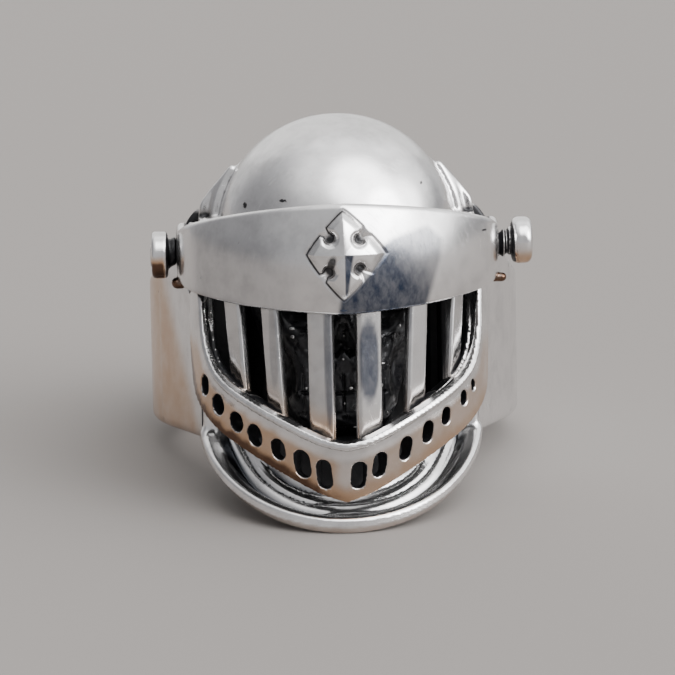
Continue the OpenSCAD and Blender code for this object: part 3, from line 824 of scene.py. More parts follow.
def surface_net(field, xs, fs, zs):
    """One point in every cell that the surface passes, and a quad round every edge that crosses it."""
    grid = np.meshgrid(xs, fs, zs, indexing="ij")
    shape = grid[0].shape
    flat = [g.ravel() for g in grid]
    value = np.concatenate([
        field(*(g[i:i + CHUNK] for g in flat)) for i in range(0, len(flat[0]), CHUNK)
    ]).reshape(shape)
    inside = value < 0
    cell = tuple(n - 1 for n in shape)

    def corner(array, dx, df, dz):
        return array[dx:dx + cell[0], df:df + cell[1], dz:dz + cell[2]]

    corners = [(i >> 2 & 1, i >> 1 & 1, i & 1) for i in range(8)]
    filled = sum(corner(inside, *c).astype(np.int8) for c in corners)
    active = (filled > 0) & (filled < 8)
    index = np.argwhere(active)
    number = np.full(cell, -1, np.int64)
    number[active] = np.arange(len(index))
    axes = (xs.astype(float), fs.astype(float), zs.astype(float))

    def read(c):
        place = index + np.array(c)
        return value[place[:, 0], place[:, 1], place[:, 2]].astype(float), np.stack(
            [axes[k][place[:, k]] for k in range(3)], 1)

    total = np.zeros((len(index), 3))
    weight = np.zeros(len(index))
    for a in corners:
        for axis in range(3):
            if a[axis]:
                continue
            b = tuple(1 if k == axis else a[k] for k in range(3))
            (va, pa), (vb, pb) = read(a), read(b)
            hit = (va < 0) != (vb < 0)
            t = np.where(hit, va / np.where(hit, va - vb, 1), 0)[:, None]
            total += np.where(hit[:, None], pa + (pb - pa) * t, 0)
            weight += hit
    points = total / weight[:, None]
    quads = []
    for axis in range(3):
        u, w = (axis + 1) % 3, (axis + 2) % 3
        low = [slice(None)] * 3
        high = [slice(None)] * 3
        low[axis], high[axis] = slice(0, -1), slice(1, None)
        for other in (u, w):
            low[other] = high[other] = slice(1, -1)
        first, second = inside[tuple(low)], inside[tuple(high)]
        at = np.argwhere(first != second)
        leaving = first[tuple(at.T)]
        base = at.copy()
        base[:, u] += 1
        base[:, w] += 1
        ring = []
        for du, dw in ((0, 0), (-1, 0), (-1, -1), (0, -1)):
            c = base.copy()
            c[:, u] += du
            c[:, w] += dw
            ring.append(number[c[:, 0], c[:, 1], c[:, 2]])
        quad = np.stack(ring, 1)
        quad[~leaving] = quad[~leaving][:, ::-1]
        quads.append(quad)
    return points, np.concatenate(quads)


def gradient(field, points, step):
    """The slope of a field at each point, taken over a step to both sides."""
    x, f, z = points.T
    return np.stack([
        (field(x + step, f, z) - field(x - step, f, z)) / (2 * step),
        (field(x, f + step, z) - field(x, f - step, z)) / (2 * step),
        (field(x, f, z + step) - field(x, f, z - step)) / (2 * step),
    ], 1)


def settle(field, points, limit):
    """Moves the points onto the surface along the field's slope."""
    for _ in range(2):
        slope = gradient(field, points, SLOPE_STEP)
        size = np.maximum((slope**2).sum(1), 0.05)
        move = -slope * (field(*points.T) / size)[:, None]
        length = np.linalg.norm(move, axis=1)[:, None]
        points = points + move * np.minimum(1, limit / np.maximum(length, 1e-9))
    return points


def unit(vectors):
    return vectors / np.maximum(np.linalg.norm(vectors, axis=1)[:, None], 1e-9)


class Places:
    """Turns helmet millimetres into places in the frame, from the hinge and the bore's axis."""

    def __init__(self):
        self.pivot = np.array(frame["joints"][0]["pos_m"], float)
        up = np.array([m for m in frame["record"]["mounts"] if m["kind"] == "bore"][0]["axis"], float)
        up /= np.linalg.norm(up)
        across = np.array([1.0, 0, 0])
        self.axes = np.stack([across, -np.cross(up, across), up])

    def point(self, places):
        return self.pivot + np.asarray(places, float) * MM @ self.axes

    def way(self, vectors):
        return np.asarray(vectors, float) @ self.axes


def cavity(union, points, normals):
    """How much metal fills the space in front of each point, from 0 on open faces to 1 in cracks."""
    total = np.zeros(len(points))
    for reach, share in ((0.15, 0.25), (0.4, 0.3), (0.9, 0.25), (1.8, 0.2)):
        away = union(*(points + normals * reach).T)
        total += share * np.clip((reach - away) / reach, 0, 1.3)
    return total


def pits(table, points):
    """1 in the middle of each pit or nick, and 0 from its edge on."""
    mask = np.zeros(len(points))
    for x, f, z, half_width, half_height in table:
        dx, df, dz = (points - (x, f, z)).T
        away = np.sqrt((dx / half_width) ** 2 + (dz / half_height) ** 2 + df**2)
        mask = np.maximum(mask, ramp(1.25, 0.6, away))
    return mask


def set_masks(mesh, masks):
    """Keeps each mask as a point attribute, cut off to 0 and 1."""
    for mask, values in masks.items():
        attribute = mesh.attributes.get(mask) or mesh.attributes.new(mask, "FLOAT", "POINT")
        attribute.data.foreach_set("value", np.clip(values, 0, 1).astype(np.float32))


def add_object(name, data):
    piece = bpy.data.objects.new(name, data)
    bpy.context.scene.collection.objects.link(piece)
    return piece


def make_mesh(name, points, faces, normals, masks):
    """A smooth mesh with its own normals, whose masks are point attributes."""
    places = Places()
    mesh = bpy.data.meshes.new(name)
    mesh.from_pydata(places.point(points).tolist(), [], np.asarray(faces)[:, ::-1].tolist())
    mesh.polygons.foreach_set("use_smooth", np.ones(len(mesh.polygons), bool))
    mesh.update()
    mesh.normals_split_custom_set_from_vertices(unit(places.way(normals)).tolist())
    set_masks(mesh, masks)
    return add_object(name, mesh)


def union_field(s, visor):
    """All the metal at rest, for the shade and grime where pieces meet."""

    def union(x, f, z):
        return np.minimum.reduce([
            ring_field(s, x, f, z),
            brow_field(s, x, f, z),
            grille_field(s, visor, x, f, z),
            bars_field(s, x, f, z),
            skull_field(s, x, f, z),
            rivets_field(s, x, f, z),
        ])

    return union


def cast_piece(name, field, grid, shade, material, body, node, reach=0.03):
    """Meshes one cast piece, works out its masks and hands it over."""
    step = min(np.diff(g).min() for g in grid)
    points, quads = surface_net(field, *grid)
    points = settle(field, points, step)
    normals = unit(gradient(field, points, reach))
    piece = make_mesh(name, points, quads, normals, shade(points, normals))
    piece.data.materials.append(material)
    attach(piece, body)
    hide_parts(node)


# Materials

# Depths of the bumps in metres
WAVE_DEPTH = 0.00035
SCRATCH_DEPTH = 0.000008
CRUST_DEPTH = 0.00012
# Colours of the painted dark reflections, of the collar's channels, which are partly oxide and partly painted
# shade, and of grime beside the black
PAINTED_REFLECTION_COLOUR = (0.036, 0.050, 0.086, 1)
CHANNEL_OXIDE_AND_SHADE = (0.045, 0.052, 0.068, 1)
GRIME_COLOUR = (0.16, 0.14, 0.13, 1)
# Worn metal on the blackened skull
WORN_COLOUR = (0.30, 0.30, 0.31, 1)


def node(tree, kind, inputs=None, **settings):
    """Adds a node, sets it up, and links or sets its inputs."""
    made = tree.nodes.new(kind)
    for key, value in settings.items():
        setattr(made, key, value)
    for key, value in (inputs or {}).items():
        if isinstance(value, bpy.types.NodeSocket):
            tree.links.new(value, made.inputs[key])
        else:
            made.inputs[key].default_value = value
    return made


def math_node(tree, operation, *values):
    return node(tree, "ShaderNodeMath", dict(enumerate(values)), operation=operation).outputs[0]


def mix_colour(tree, share, a, b):
    return node(tree, "ShaderNodeMix", {0: share, 6: a, 7: b}, data_type="RGBA").outputs[2]


def mix_value(tree, share, a, b):
    return node(tree, "ShaderNodeMix", {0: share, 2: a, 3: b}, data_type="FLOAT").outputs[0]


def step_between(tree, value, low, high):
    """A smooth step from 0 at low to 1 at high."""
    inputs = {"Value": value, "From Min": low, "From Max": high}
    return node(tree, "ShaderNodeMapRange", inputs, interpolation_type="SMOOTHSTEP").outputs[0]


def mask_node(tree, name):
    return node(tree, "ShaderNodeAttribute", attribute_name=name).outputs["Fac"]


def noise_node(tree, place, scale, detail, **inputs):
    """Noise from 0 to 1. Scale is in waves to the metre."""
    made = node(tree, "ShaderNodeTexNoise", {"Vector": place, "Scale": scale, "Detail": detail, **inputs})
    return made.outputs[0]


def new_group(name, kind, inputs, outputs):
    """A node group with named inputs given as (name, kind, default) and outputs given as (name, kind)."""
    tree = bpy.data.node_groups.new(name, kind)
    for label, sort, default in inputs:
        socket = tree.interface.new_socket(label, in_out="INPUT", socket_type="NodeSocket" + sort)
        if default is not None:
            socket.default_value = default
    for label, sort in outputs:
        tree.interface.new_socket(label, in_out="OUTPUT", socket_type="NodeSocket" + sort)
    return tree, tree.nodes.new("NodeGroupInput").outputs, tree.nodes.new("NodeGroupOutput").inputs


def blackening_group():
    """Where the black of the bath is left: in the mask's hollows, with a ragged edge and a few pits."""
    tree, given, made = new_group(
        "Blackening",
        "ShaderNodeTree",
        [("Vector", "Vector", None), ("Mask", "Float", 0.0), ("Pits", "Float", 0.0)],
        [("Black", "Float"), ("Grime", "Float")],
    )
    ragged = noise_node(tree, given["Vector"], 2600.0, 4.0, Roughness=0.65)
    spots = noise_node(tree, given["Vector"], 1500.0, 2.0)
    spread = 0.36
    lowered = math_node(tree, "SUBTRACT", given["Mask"], spread / 2)
    shifted = math_node(tree, "MULTIPLY_ADD", ragged, spread, lowered)
    black = step_between(tree, shifted, 0.42, 0.72)
    pit = math_node(tree, "MULTIPLY", step_between(tree, spots, 0.765, 0.80), given["Pits"])
    tree.links.new(math_node(tree, "MAXIMUM", black, pit), made["Black"])
    tree.links.new(step_between(tree, shifted, 0.14, 0.55), made["Grime"])
    return tree


def polish_group():
    """Fine marks of polishing: scratches in three directions, a slow wave of the hand, and a soft haze."""
    tree, given, made = new_group(
        "Hand polish",
        "ShaderNodeTree",
        [("Vector", "Vector", None), ("Scratches", "Float", 0.5), ("Wave", "Float", 0.5)],
        [("Normal", "Vector"), ("Haze", "Float"), ("Lines", "Float")],
    )
    lines = None
    for turn, stretch in ((0.35, (900, 26000, 900)), (-0.9, (1200, 21000, 700)), (1.9, (600, 30000, 1100))):
        place = node(tree, "ShaderNodeMapping", {
            "Vector": given["Vector"], "Rotation": (turn, turn * 0.6, turn), "Scale": stretch})
        line = step_between(tree, noise_node(tree, place.outputs[0], 1.0, 2.0, Roughness=0.6), 0.66, 0.80)
        lines = line if lines is None else math_node(tree, "MAXIMUM", lines, line)
    slow = noise_node(tree, given["Vector"], 330.0, 1.5, Roughness=0.4)
    haze = noise_node(tree, given["Vector"], 700.0, 5.0, Roughness=0.6)
    wave = node(tree, "ShaderNodeBump", {"Strength": given["Wave"], "Distance": WAVE_DEPTH, "Height": slow})
    cut = node(tree, "ShaderNodeBump", {
        "Strength": given["Scratches"], "Distance": SCRATCH_DEPTH, "Height": lines,
        "Normal": wave.outputs[0]}, invert=True)
    for name, value in (("Normal", cut.outputs[0]), ("Haze", haze), ("Lines", lines)):
        tree.links.new(value, made[name])
    return tree


def rough_cast_group():
    """The grain of metal that no polish has reached: small lumps and a fine crust."""
    tree, given, made = new_group(
        "Rough cast",
        "ShaderNodeTree",
        [("Vector", "Vector", None), ("Strength", "Float", 0.8), ("Normal", "Vector", None)],
        [("Normal", "Vector")],
    )
    lumps = node(tree, "ShaderNodeTexVoronoi", {
        "Vector": given["Vector"], "Scale": 1900.0}, feature="SMOOTH_F1")
    crust = noise_node(tree, given["Vector"], 4200.0, 4.0)
    height = math_node(tree, "MULTIPLY_ADD", crust, 0.5, lumps.outputs[0])
    bump = node(tree, "ShaderNodeBump", {
        "Strength": given["Strength"], "Distance": CRUST_DEPTH, "Height": height, "Normal": given["Normal"]})
    tree.links.new(bump.outputs[0], made["Normal"])
    return tree


def shared_groups():
    """The node groups that more than one material uses, made once."""
    makers = {
        "Blackening": blackening_group,
        "Hand polish": polish_group,
        "Rough cast": rough_cast_group,
    }
    return [bpy.data.node_groups.get(name) or make() for name, make in makers.items()]


def colour(name):
    return (*getattr(bpy.context.scene.helmet_colours, name), 1.0)


def with_painted_reflection(tree, place, base):
    """Paints dark reflections: darkens a colour where the painted reflection mask is, in streaks across each
    other.
    """
    turned = node(tree, "ShaderNodeMapping", {
        "Vector": place, "Rotation": (0, 1.0, 0), "Scale": (1700, 1700, 900)})
    streaks = noise_node(tree, turned.outputs[0], 1.0, 5.0, Roughness=0.7)
    grain = math_node(tree, "MULTIPLY_ADD", step_between(tree, streaks, 0.30, 0.70), 0.19, 0.81)
    return mix_colour(tree, math_node(tree, "MULTIPLY", mask_node(tree, "painted_reflection"), grain), base, PAINTED_REFLECTION_COLOUR)


def channels_group():
    """The dark of the collar's channels, partly oxide and partly painted shade and reflection. Inward is the
    place on the collar's profile over INWARD_SPAN.
    """
    tree, given, made = new_group(
        "Collar channels",
        "ShaderNodeTree",
        [("Inward", "Float", 0.0), ("Channel", "Float", 0.0), ("Lines", "Float", 0.0)],
        [("Dark", "Float")],
    )

    def step_inward(value, low, high):
        return step_between(tree, value, low / INWARD_SPAN, high / INWARD_SPAN)

    outer = step_inward(given["Inward"], 0.78, 0.94)
    inner = step_inward(given["Inward"], 1.28, 1.16)
    dark = math_node(tree, "MULTIPLY", math_node(tree, "MULTIPLY", outer, inner), given["Channel"])
    for middle in (1.68, 2.28):
        away = math_node(tree, "ABSOLUTE", math_node(tree, "SUBTRACT", given["Inward"], middle / INWARD_SPAN))
        line = math_node(tree, "MULTIPLY", step_inward(away, 0.11, 0.03), given["Lines"])
        dark = math_node(tree, "MAXIMUM", dark, line)
    tree.links.new(dark, made["Dark"])
    return tree


def channelled_colour(tree, base):
    """Darkens a colour in the collar's channels: partly oxide, partly painted shade and reflection."""
    group = bpy.data.node_groups.get("Collar channels") or channels_group()
    masks = {name.capitalize(): mask_node(tree, name) for name in ("inward", "channel", "lines")}
    dark = node(tree, "ShaderNodeGroup", masks, node_tree=group)
    return mix_colour(tree, dark.outputs[0], base, CHANNEL_OXIDE_AND_SHADE)


def new_material(name):
    """An empty material, its node tree and its place on the piece."""
    material = bpy.data.materials.new(name)
    material.use_nodes = True
    tree = material.node_tree
    tree.nodes.clear()
    return material, tree, node(tree, "ShaderNodeTexCoord").outputs["Object"]


def finish_material(tree, ior, inputs):
    shader = node(tree, "ShaderNodeBsdfPrincipled", {**inputs, "IOR": ior})
    tree.links.new(shader.outputs[0], node(tree, "ShaderNodeOutputMaterial").inputs["Surface"])


def silver_material(
    name, roughness, haze, scratches, wave, pits, tone=1.0, painted_reflections=False, crust=0.85, channels=False
):
    """Silver with hand-polished faces, black hollows, warm stains and painted warm reflections, and painted
    dark reflections where asked, from the piece's own masks.
    """
    blackening, polish, rough_cast = shared_groups()
    material, tree, place = new_material(name)
    oxide = node(tree, "ShaderNodeGroup", {
        "Vector": place, "Mask": mask_node(tree, "oxide"), "Pits": pits}, node_tree=blackening)
    black, grime = oxide.outputs["Black"], oxide.outputs["Grime"]
    marks = node(tree, "ShaderNodeGroup", {
        "Vector": place, "Scratches": scratches, "Wave": wave}, node_tree=polish)
    cloud = marks.outputs["Haze"]
    grain = node(tree, "ShaderNodeGroup", {
        "Vector": place, "Normal": marks.outputs["Normal"],
        "Strength": math_node(tree, "MULTIPLY", black, crust)}, node_tree=rough_cast)
    dulling, grime_share, black_metal, black_rough = 0.80, 0.55, 0.35, 0.42
    silver = tuple(c * tone for c in colour("silver")[:3]) + (1.0,)
    dull = tuple(c * dulling for c in silver[:3]) + (1.0,)
    base = mix_colour(tree, step_between(tree, cloud, 0.35, 0.75), silver, dull)
    mottled = math_node(tree, "MULTIPLY_ADD", cloud, 0.6, 0.7)
    # Tan and brown: partly real stains, mostly painted warm reflections
    tan = math_node(tree, "MULTIPLY", mask_node(tree, "tan"), mottled)
    base = mix_colour(tree, step_between(tree, tan, 0.0, 0.85), base, colour("tan"))
    base = mix_colour(tree, step_between(tree, tan, 0.70, 1.0), base, colour("brown"))
    base = mix_colour(tree, math_node(tree, "MULTIPLY", grime, grime_share), base, GRIME_COLOUR)
    base = mix_colour(tree, black, base, colour("oxide"))
    soft = math_node(tree, "MULTIPLY_ADD", cloud, haze, roughness - haze * 0.5)
    soft = math_node(tree, "MULTIPLY_ADD", marks.outputs["Lines"], 0.05, soft)
    soft = math_node(tree, "MULTIPLY_ADD", grime, 0.12, soft)
    # Painted dark reflections over the silver
    if painted_reflections:
        base = with_painted_reflection(tree, place, base)
    # Dark of the collar's channels: partly oxide, partly painted shade and reflection
    if channels:
        base = channelled_colour(tree, base)
    finish_material(tree, 1.5, {
        "Base Color": base, "Metallic": mix_value(tree, black, 1.0, black_metal),
        "Roughness": mix_value(tree, black, soft, black_rough), "Normal": grain.outputs["Normal"]})
    return material


def oxide_material(name):
    """Blackened cast silver that no cloth has reached: near black, with a wet glint on its lumps."""
    material, tree, place = new_material(name)
    crust = node(tree, "ShaderNodeGroup", {
        "Vector": place, "Normal": node(tree, "ShaderNodeNewGeometry").outputs["Normal"],
        "Strength": 0.9}, node_tree=shared_groups()[2])
    patches = noise_node(tree, place, 1100.0, 4.0)
    worn = math_node(tree, "MULTIPLY", step_between(tree, patches, 0.56, 0.70), mask_node(tree, "bare"))
    finish_material(tree, 1.6, {
        "Base Color": mix_colour(tree, worn, colour("oxide"), WORN_COLOUR),
        "Metallic": mix_value(tree, worn, 0.4, 1.0),
        "Roughness": mix_value(tree, step_between(tree, patches, 0.3, 0.7), 0.22, 0.5),
        "Normal": crust.outputs["Normal"]})
    return material


# Pieces


class Kit:
    """The sizes and fields that the operators share."""

    made = None

    def __init__(self):
        self.s = millimetres()
        self.visor = VisorFrame(self.s)
        self.union = union_field(self.s, self.visor)

    @classmethod
    def get(cls):
        if cls.made is None:
            cls.made = cls()
        return cls.made


class HELMET_OT_ring_body(bpy.types.Operator):
    """Builds the cast band, cheeks, dome and collar"""

    bl_idname = "helmet.ring_body"
    bl_label = "Ring body"

    def execute(self, context):
        kit = Kit.get()
        s = kit.s

        def shade(points, normals):
            x, f, z = points.T
            ax, up = np.abs(x), normals[:, 2]
            in_face = np.hypot(x, z - s.dome_z)
            shoulder = ramp(7.3, 7.55, in_face) * ramp(0.7, 1.4, z) * ramp(2.0, 1.0, f)
            turn, inward, _ = collar_place(x, f)
            on_collar = ramp(-10.2, -10.8, z) * (np.abs(turn) < 90) * ramp(-0.2, 0.1, up)
            # Black in cracks, but not on the shoulders or the collar's outer part
            open_top = 0.16 * ramp(1.0, 2.5, z)
            deep = ramp(0.34 + open_top, 0.62 + open_top, cavity(kit.union, points, normals))
            deep = deep * (1 - 0.9 * on_collar * ramp(2.7, 2.3, inward)) * (1 - shoulder)
            # Black in the hollow, on the ears' seats, on the cheeks' fronts and behind the chin band
            hollow = ramp(0.25, 0.05, hollow_field(s, x, f, z)) * ramp(-13.5, -12.5, z)
            seat = 0.8 * ramp(7.5, 8.3, ax) * ramp(3.1, 2.0, z) * ramp(0.0, 0.5, up + normals[:, 1])
            seat = seat * (z > 0) * ramp(0.2, -0.2, f)
            front = ramp(1.2, 1.5, f) * ramp(0.4, 0.8, normals[:, 1]) * ramp(-1.0, -1.8, z)
            front = front * ramp(8.75, 8.6, ax) * ramp(-9.5, -8.5, z)
            rows = np.array(FRAME_ROWS)[::-1]
            band_low = np.interp(ax, rows[:, 3], rows[:, 5])
            behind = ramp(-0.2, 0.35, z - band_low) * ramp(-6.0, -8.0, z) * ramp(2.0, 4.0, f) * (ax < 8.6)
            # Painted warm reflections under the collar, on the left of the band and in the left bead's
            # channel
            under = 0.35 * ramp(-11.0, -13.5, z) * ramp(1, 4, f) * ramp(-0.2, -0.7, up)
            warm_reflection_x = -11.05 - 0.226 * (z + 2)
            side = 0.60 * ramp(0.35, -0.75, x - warm_reflection_x) * ramp(1.0, -1.5, z) * ramp(-18, -11.5, f)
            from_channel = np.hypot(in_face - CHANNEL_R, f - CHANNEL_F)
            groove = 0.7 * ramp(0.4, 0.1, from_channel) * (x < 0) * shoulder
            return {
                "oxide": np.maximum.reduce([deep, hollow, behind, seat, front, pits(PITS, points)]),
                "tan": np.maximum.reduce([under, side, groove]),
                "inward": inward / INWARD_SPAN,
                # The channels' darkness, partly oxide and partly painted shade and reflection
                "channel": on_collar * collar_turns(turn, inward, 2),
                "lines": on_collar * collar_turns(turn, inward, 3),
            }

        grid = (
            mirrored([(0, 0.17), (5, 0.15), (9.6, 0.15), (10.5, 0.28), (12.6, 0.34)]),
            spaced([(-23.8, 0.5), (-13, 0.5), (-4, 0.36), (-1.5, 0.15), (3, 0.16), (10.6, 0.13)]),
            spaced([
                (-17.3, 0.125), (-12.0, 0.13), (-10.5, 0.28), (-4, 0.32), (0, 0.22), (2, 0.16), (9.1, 0.17),
            ]),
        )
        material = silver_material("Polished silver", 0.21, 0.10, 0.5, 0.10, 0.55, crust=0.4, channels=True)
        cast_piece("ring_body_cast", lambda *p: ring_field(s, *p), grid, shade, material,
                   "root", "ring_body", 0.05)
        return {"FINISHED"}


class HELMET_OT_brow(bpy.types.Operator):
    """Builds the brow visor with its raised cross"""

    bl_idname = "helmet.brow"
    bl_label = "Brow"

    def execute(self, context):
        kit = Kit.get()
        s = kit.s

        def shade(points, normals):
            x, f, z = points.T
            front = ramp(7, 8.5, f)
            facing = ramp(0.1, 0.5, normals[:, 1])
            edge, notch = cross_edge(x, z - CROSS_Z)
            beside_cross, on_cross = ramp(-0.05, 0.2, edge), ramp(0.0, -0.06, edge) * front
            # Black in cracks, inside the brow, in the cross's notches and in the groove round it
            deep = ramp(0.30, 0.55, cavity(kit.union, points, normals))
            inner = 0.9 * ramp(-0.3, -0.58, brow_surface(s, x, f, z))
            hole = 0.70 * ramp(0.12, -0.10, notch) * ramp(0.05, -0.45, edge) * front
            strength = ramp(1.2, -0.4, x) * 0.26 + 0.46
            line = strength * ramp(0.14, 0.02, np.abs(np.maximum(edge, -notch) - 0.08)) * front
            # A darker pocket above the lower left notch
            pocket = np.hypot((x + 0.74 - 0.25 * (z - 0.15)) / 0.34, (z - 0.12) / 0.60)
            pocket = 0.66 * ramp(1.25, 0.55, pocket) * on_cross
            # Painted dark reflections beside the cross and down the right of its lower arm, and a thin
            # painted shade on the left half
            painted_reflection = ramp(0.20, -0.25, polygon_distance(x, z, PAINTED_REFLECTION_CORNERS)) * facing * beside_cross
            painted_reflection = painted_reflection * (1 - 0.42 * ramp(3.0, 7.0, x + 0.8 * (z + 1)))
            arm_painted_reflection = ramp(0.02, 0.12, x) * ramp(0.09, -0.07, x - 0.50 - 0.15 * z)
            arm_painted_reflection = arm_painted_reflection * ramp(-2.1, -1.8, z) * ramp(0.75, 0.6, z) * on_cross
            left_painted_shade = ramp(2.4, 0.6, z) * (0.3 + 0.7 * ramp(-1.5, -6.0, x))
            left_painted_shade = 0.33 * left_painted_shade * ramp(0.6, -0.4, x) * ramp(-9.7, -8.7, x) * facing * beside_cross
            # Brown solder lumps, and a warm seam along the left of the lower edge
            lumps = ramp(0.22, 0.04, lumps_field(x, f, z))
            over_edge = z + EAR_R + (s.brow_low - EAR_R) / s.ridge_f * f
            seam = 0.5 * ramp(-8.2, -9.2, x) * ramp(0.3, 0.0, over_edge)
            oxide = np.maximum.reduce([deep, inner, hole, line, pocket, pits(BROW_NICKS, points)])
            return {
                "oxide": oxide * (1 - 0.6 * lumps),
                "tan": np.maximum(lumps, seam),
                "painted_reflection": np.maximum.reduce([painted_reflection, arm_painted_reflection, left_painted_shade]),
            }

        grid = (
            mirrored([(0, 0.07), (3.2, 0.075), (4.5, 0.14), (9, 0.14), (10.7, 0.10)]),
            spaced([(-2.2, 0.12), (6.0, 0.14), (8.6, 0.075), (12.2, 0.07)]),
            spaced([(-3.6, 0.09), (-2.2, 0.075), (3.9, 0.075), (4.4, 0.09)]),
        )
        material = silver_material("Mirror silver", 0.20, 0.08, 0.5, 0.07, 0.35, painted_reflections=True)
        cast_piece("brow_cast", lambda *p: brow_field(s, *p), grid, shade, material,
                   "brow", "brow")
        return {"FINISHED"}


class HELMET_OT_grille(bpy.types.Operator):
    """Builds the visor's slotted frame with its rim"""

    bl_idname = "helmet.grille"
    bl_label = "Visor frame"

    def execute(self, context):
        kit = Kit.get()
        s = kit.s

        def shade(points, normals):
            x, f, z = points.T
            facing = normals[:, 0] * np.sign(x) * 0.5 + normals[:, 1]
            # Black in cracks, most at the band's left end, and on the back, the slots' walls and the rail
            left = ramp(-3, -6, x) * ramp(-13, -10, z)
            deep = cavity(kit.union, points, normals)
            deep = ramp(0.36 - 0.14 * left, 0.66 - 0.26 * left, deep)
            back = ramp(0.15, -0.35, facing) * ramp(0.7, 0.1, normals[:, 2])
            hole = ramp(0.14, 0.0, kit.visor.slots(x, f, z)) * ramp(0.65, 0.2, facing)
            skin = np.hypot(np.abs(x) - s.arc_x, f - s.arc_f) - s.brow_arc_r
            rail = ramp(-2.2, -2.6, skin)
            # Painted warm reflection under the rim and along the lower edge, most at the left and least at
            # the middle
            down = kit.visor.share_down(points)
            face = ramp(0.1, 0.5, facing) * ramp(0.5, 0.1, normals[:, 2]) * ramp(-4.5, -6.5, z)
            side = ramp(2.5, -4, x) * 0.30 + 0.70
            edge = (0.26 + 0.14 * ramp(1, -2, x)) * ramp(0.66, 0.98, down)
            tan = face * side * (0.66 * ramp(0.16, 0.40, down) + edge)
            tan = tan * (1 - 0.50 * ramp(1.1, 0.3, np.abs(x - 0.15)) * ramp(0.9, 0.6, down))
            return {"oxide": np.maximum.reduce([deep, back, hole, rail]), "tan": tan}

        grid = (
            mirrored([(0, 0.125), (9.8, 0.125)]),
            spaced([(-2.1, 0.16), (2, 0.13), (11.9, 0.125)]),
            spaced([(-15.5, 0.125), (-4, 0.125), (1.9, 0.16)]),
        )
        material = silver_material("Worn silver", 0.18, 0.10, 0.5, 0.10, 0.5, 0.95, crust=0.5)
        cast_piece("visor_frame", lambda *p: grille_field(s, kit.visor, *p), grid, shade, material,
                   "grille", "grille")
        return {"FINISHED"}


class HELMET_OT_skull(bpy.types.Operator):
    """Builds the blackened skull behind the bars"""

    bl_idname = "helmet.skull"
    bl_label = "Skull"

    def execute(self, context):
        kit = Kit.get()

        def shade(points, normals):
            deep = cavity(kit.union, points, normals)
            middle = ramp(4.6, 2.6, np.abs(points[:, 0]))
            return {"bare": ramp(0.25, 0.05, deep) * ramp(0.2, 0.8, normals[:, 1]) * middle}

        grid = (
            mirrored([(0, 0.12), (5.9, 0.14)]),
            spaced([(-5.6, 0.4), (2, 0.25), (4, 0.12), (9.2, 0.12)]),
            spaced([(-11.6, 0.12), (0, 0.14), (2, 0.3), (6.6, 0.35)]),
        )
        cast_piece("skull_face", lambda *p: skull_field(kit.s, *p), grid, shade,
                   oxide_material("Blackened silver"), "root", "skull")
        return {"FINISHED"}


def rivet_field(s, side, x, f, z):
    """One rivet: its shaft, and a head that the hammer has left a little off its line."""
    shift, shift_to, head_x, head_half, head_round = RIVETS[side][:5]
    waist_r, ribs, waist_x, waist_half, waist_round = RIVETS[side][5:]
    rib_start, rib_turns = 10.62, 16
    along = side * x
    pivot = np.hypot(f, z - shift * ramp(SHIFT_FROM, shift_to, along))
    head = smax(np.abs(along - head_x) - head_half, pivot - s.head_r, head_round)
    waist = pivot - waist_r - ribs * np.cos((along - rib_start) * rib_turns)
    waist = smax(waist, np.abs(along - waist_x) - waist_half, waist_round)
    shaft = np.maximum(np.maximum(pivot - s.pin_r, SHAFT_IN - along), along - SHAFT_OUT)
    body = smin(smin(shaft, waist, 0.12), head, 0.25)
    # Faint hammer marks
    return body + 0.008 * np.sin(4.1 * f + 1.7) * np.sin(3.7 * z) * np.sin(3.3 * along)


class HELMET_OT_rivets(bpy.types.Operator):
    """Builds the two rivets with their heads"""

    bl_idname = "helmet.rivets"
    bl_label = "Rivets"

    def execute(self, context):
        kit = Kit.get()
        material = silver_material("Rivet silver", 0.15, 0.08, 0.5, 0.12, 0.5)

        def shade(points, normals):
            x, f, z = points.T
            deep = ramp(0.3, 0.6, cavity(kit.union, points, normals))
            # The left shaft is all black, and a painted warm reflection is on the lower half of the heads
            shaft = ramp(1.15, 0.9, np.hypot(f, z)) * ramp(11.2, 10.9, np.abs(x))
            low = ramp(0.1, -0.9, z) * ramp(10.9, 11.2, np.abs(x))
            return {
                "oxide": np.maximum(deep, (0.44 + 0.56 * (x < 0)) * shaft),
                "tan": np.where(x < 0, 1.0, 0.75) * low,
            }

        along = spaced([(6.8, 0.2), (10, 0.06), (12.7, 0.055)])
        for side, name, reach in ((-1, "pin_left", -along[::-1]), (1, "pin_right", along)):
            grid = (reach, spaced([(-1.8, 0.06), (1.8, 0.06)]), spaced([(-2.0, 0.06), (2.0, 0.06)]))
            cast_piece(name + "_rivet", lambda *p: rivet_field(kit.s, side, *p), grid, shade, material,
                       "root", name)
        return {"FINISHED"}


def geometry_group(name, inputs):
    """A geometry node group with a mesh in and out, and named inputs given as (name, kind, default)."""
    return new_group(
        name, "GeometryNodeTree", [("Geometry", "Geometry", None), *inputs], [("Geometry", "Geometry")])


def finish_geometry(tree, geometry, given, made):
    """Ends a geometry tree: smooth shading and the given material."""
    smooth = node(tree, "GeometryNodeSetShadeSmooth", {"Geometry": geometry, "Shade Smooth": True})
    dressed = node(tree, "GeometryNodeSetMaterial", {
        "Geometry": smooth.outputs[0], "Material": given["Material"]})
    tree.links.new(dressed.outputs[0], made["Geometry"])
    return tree


def named(tree, attribute):
    return node(tree, "GeometryNodeInputNamedAttribute", {"Name": attribute}, data_type="FLOAT").outputs[0]


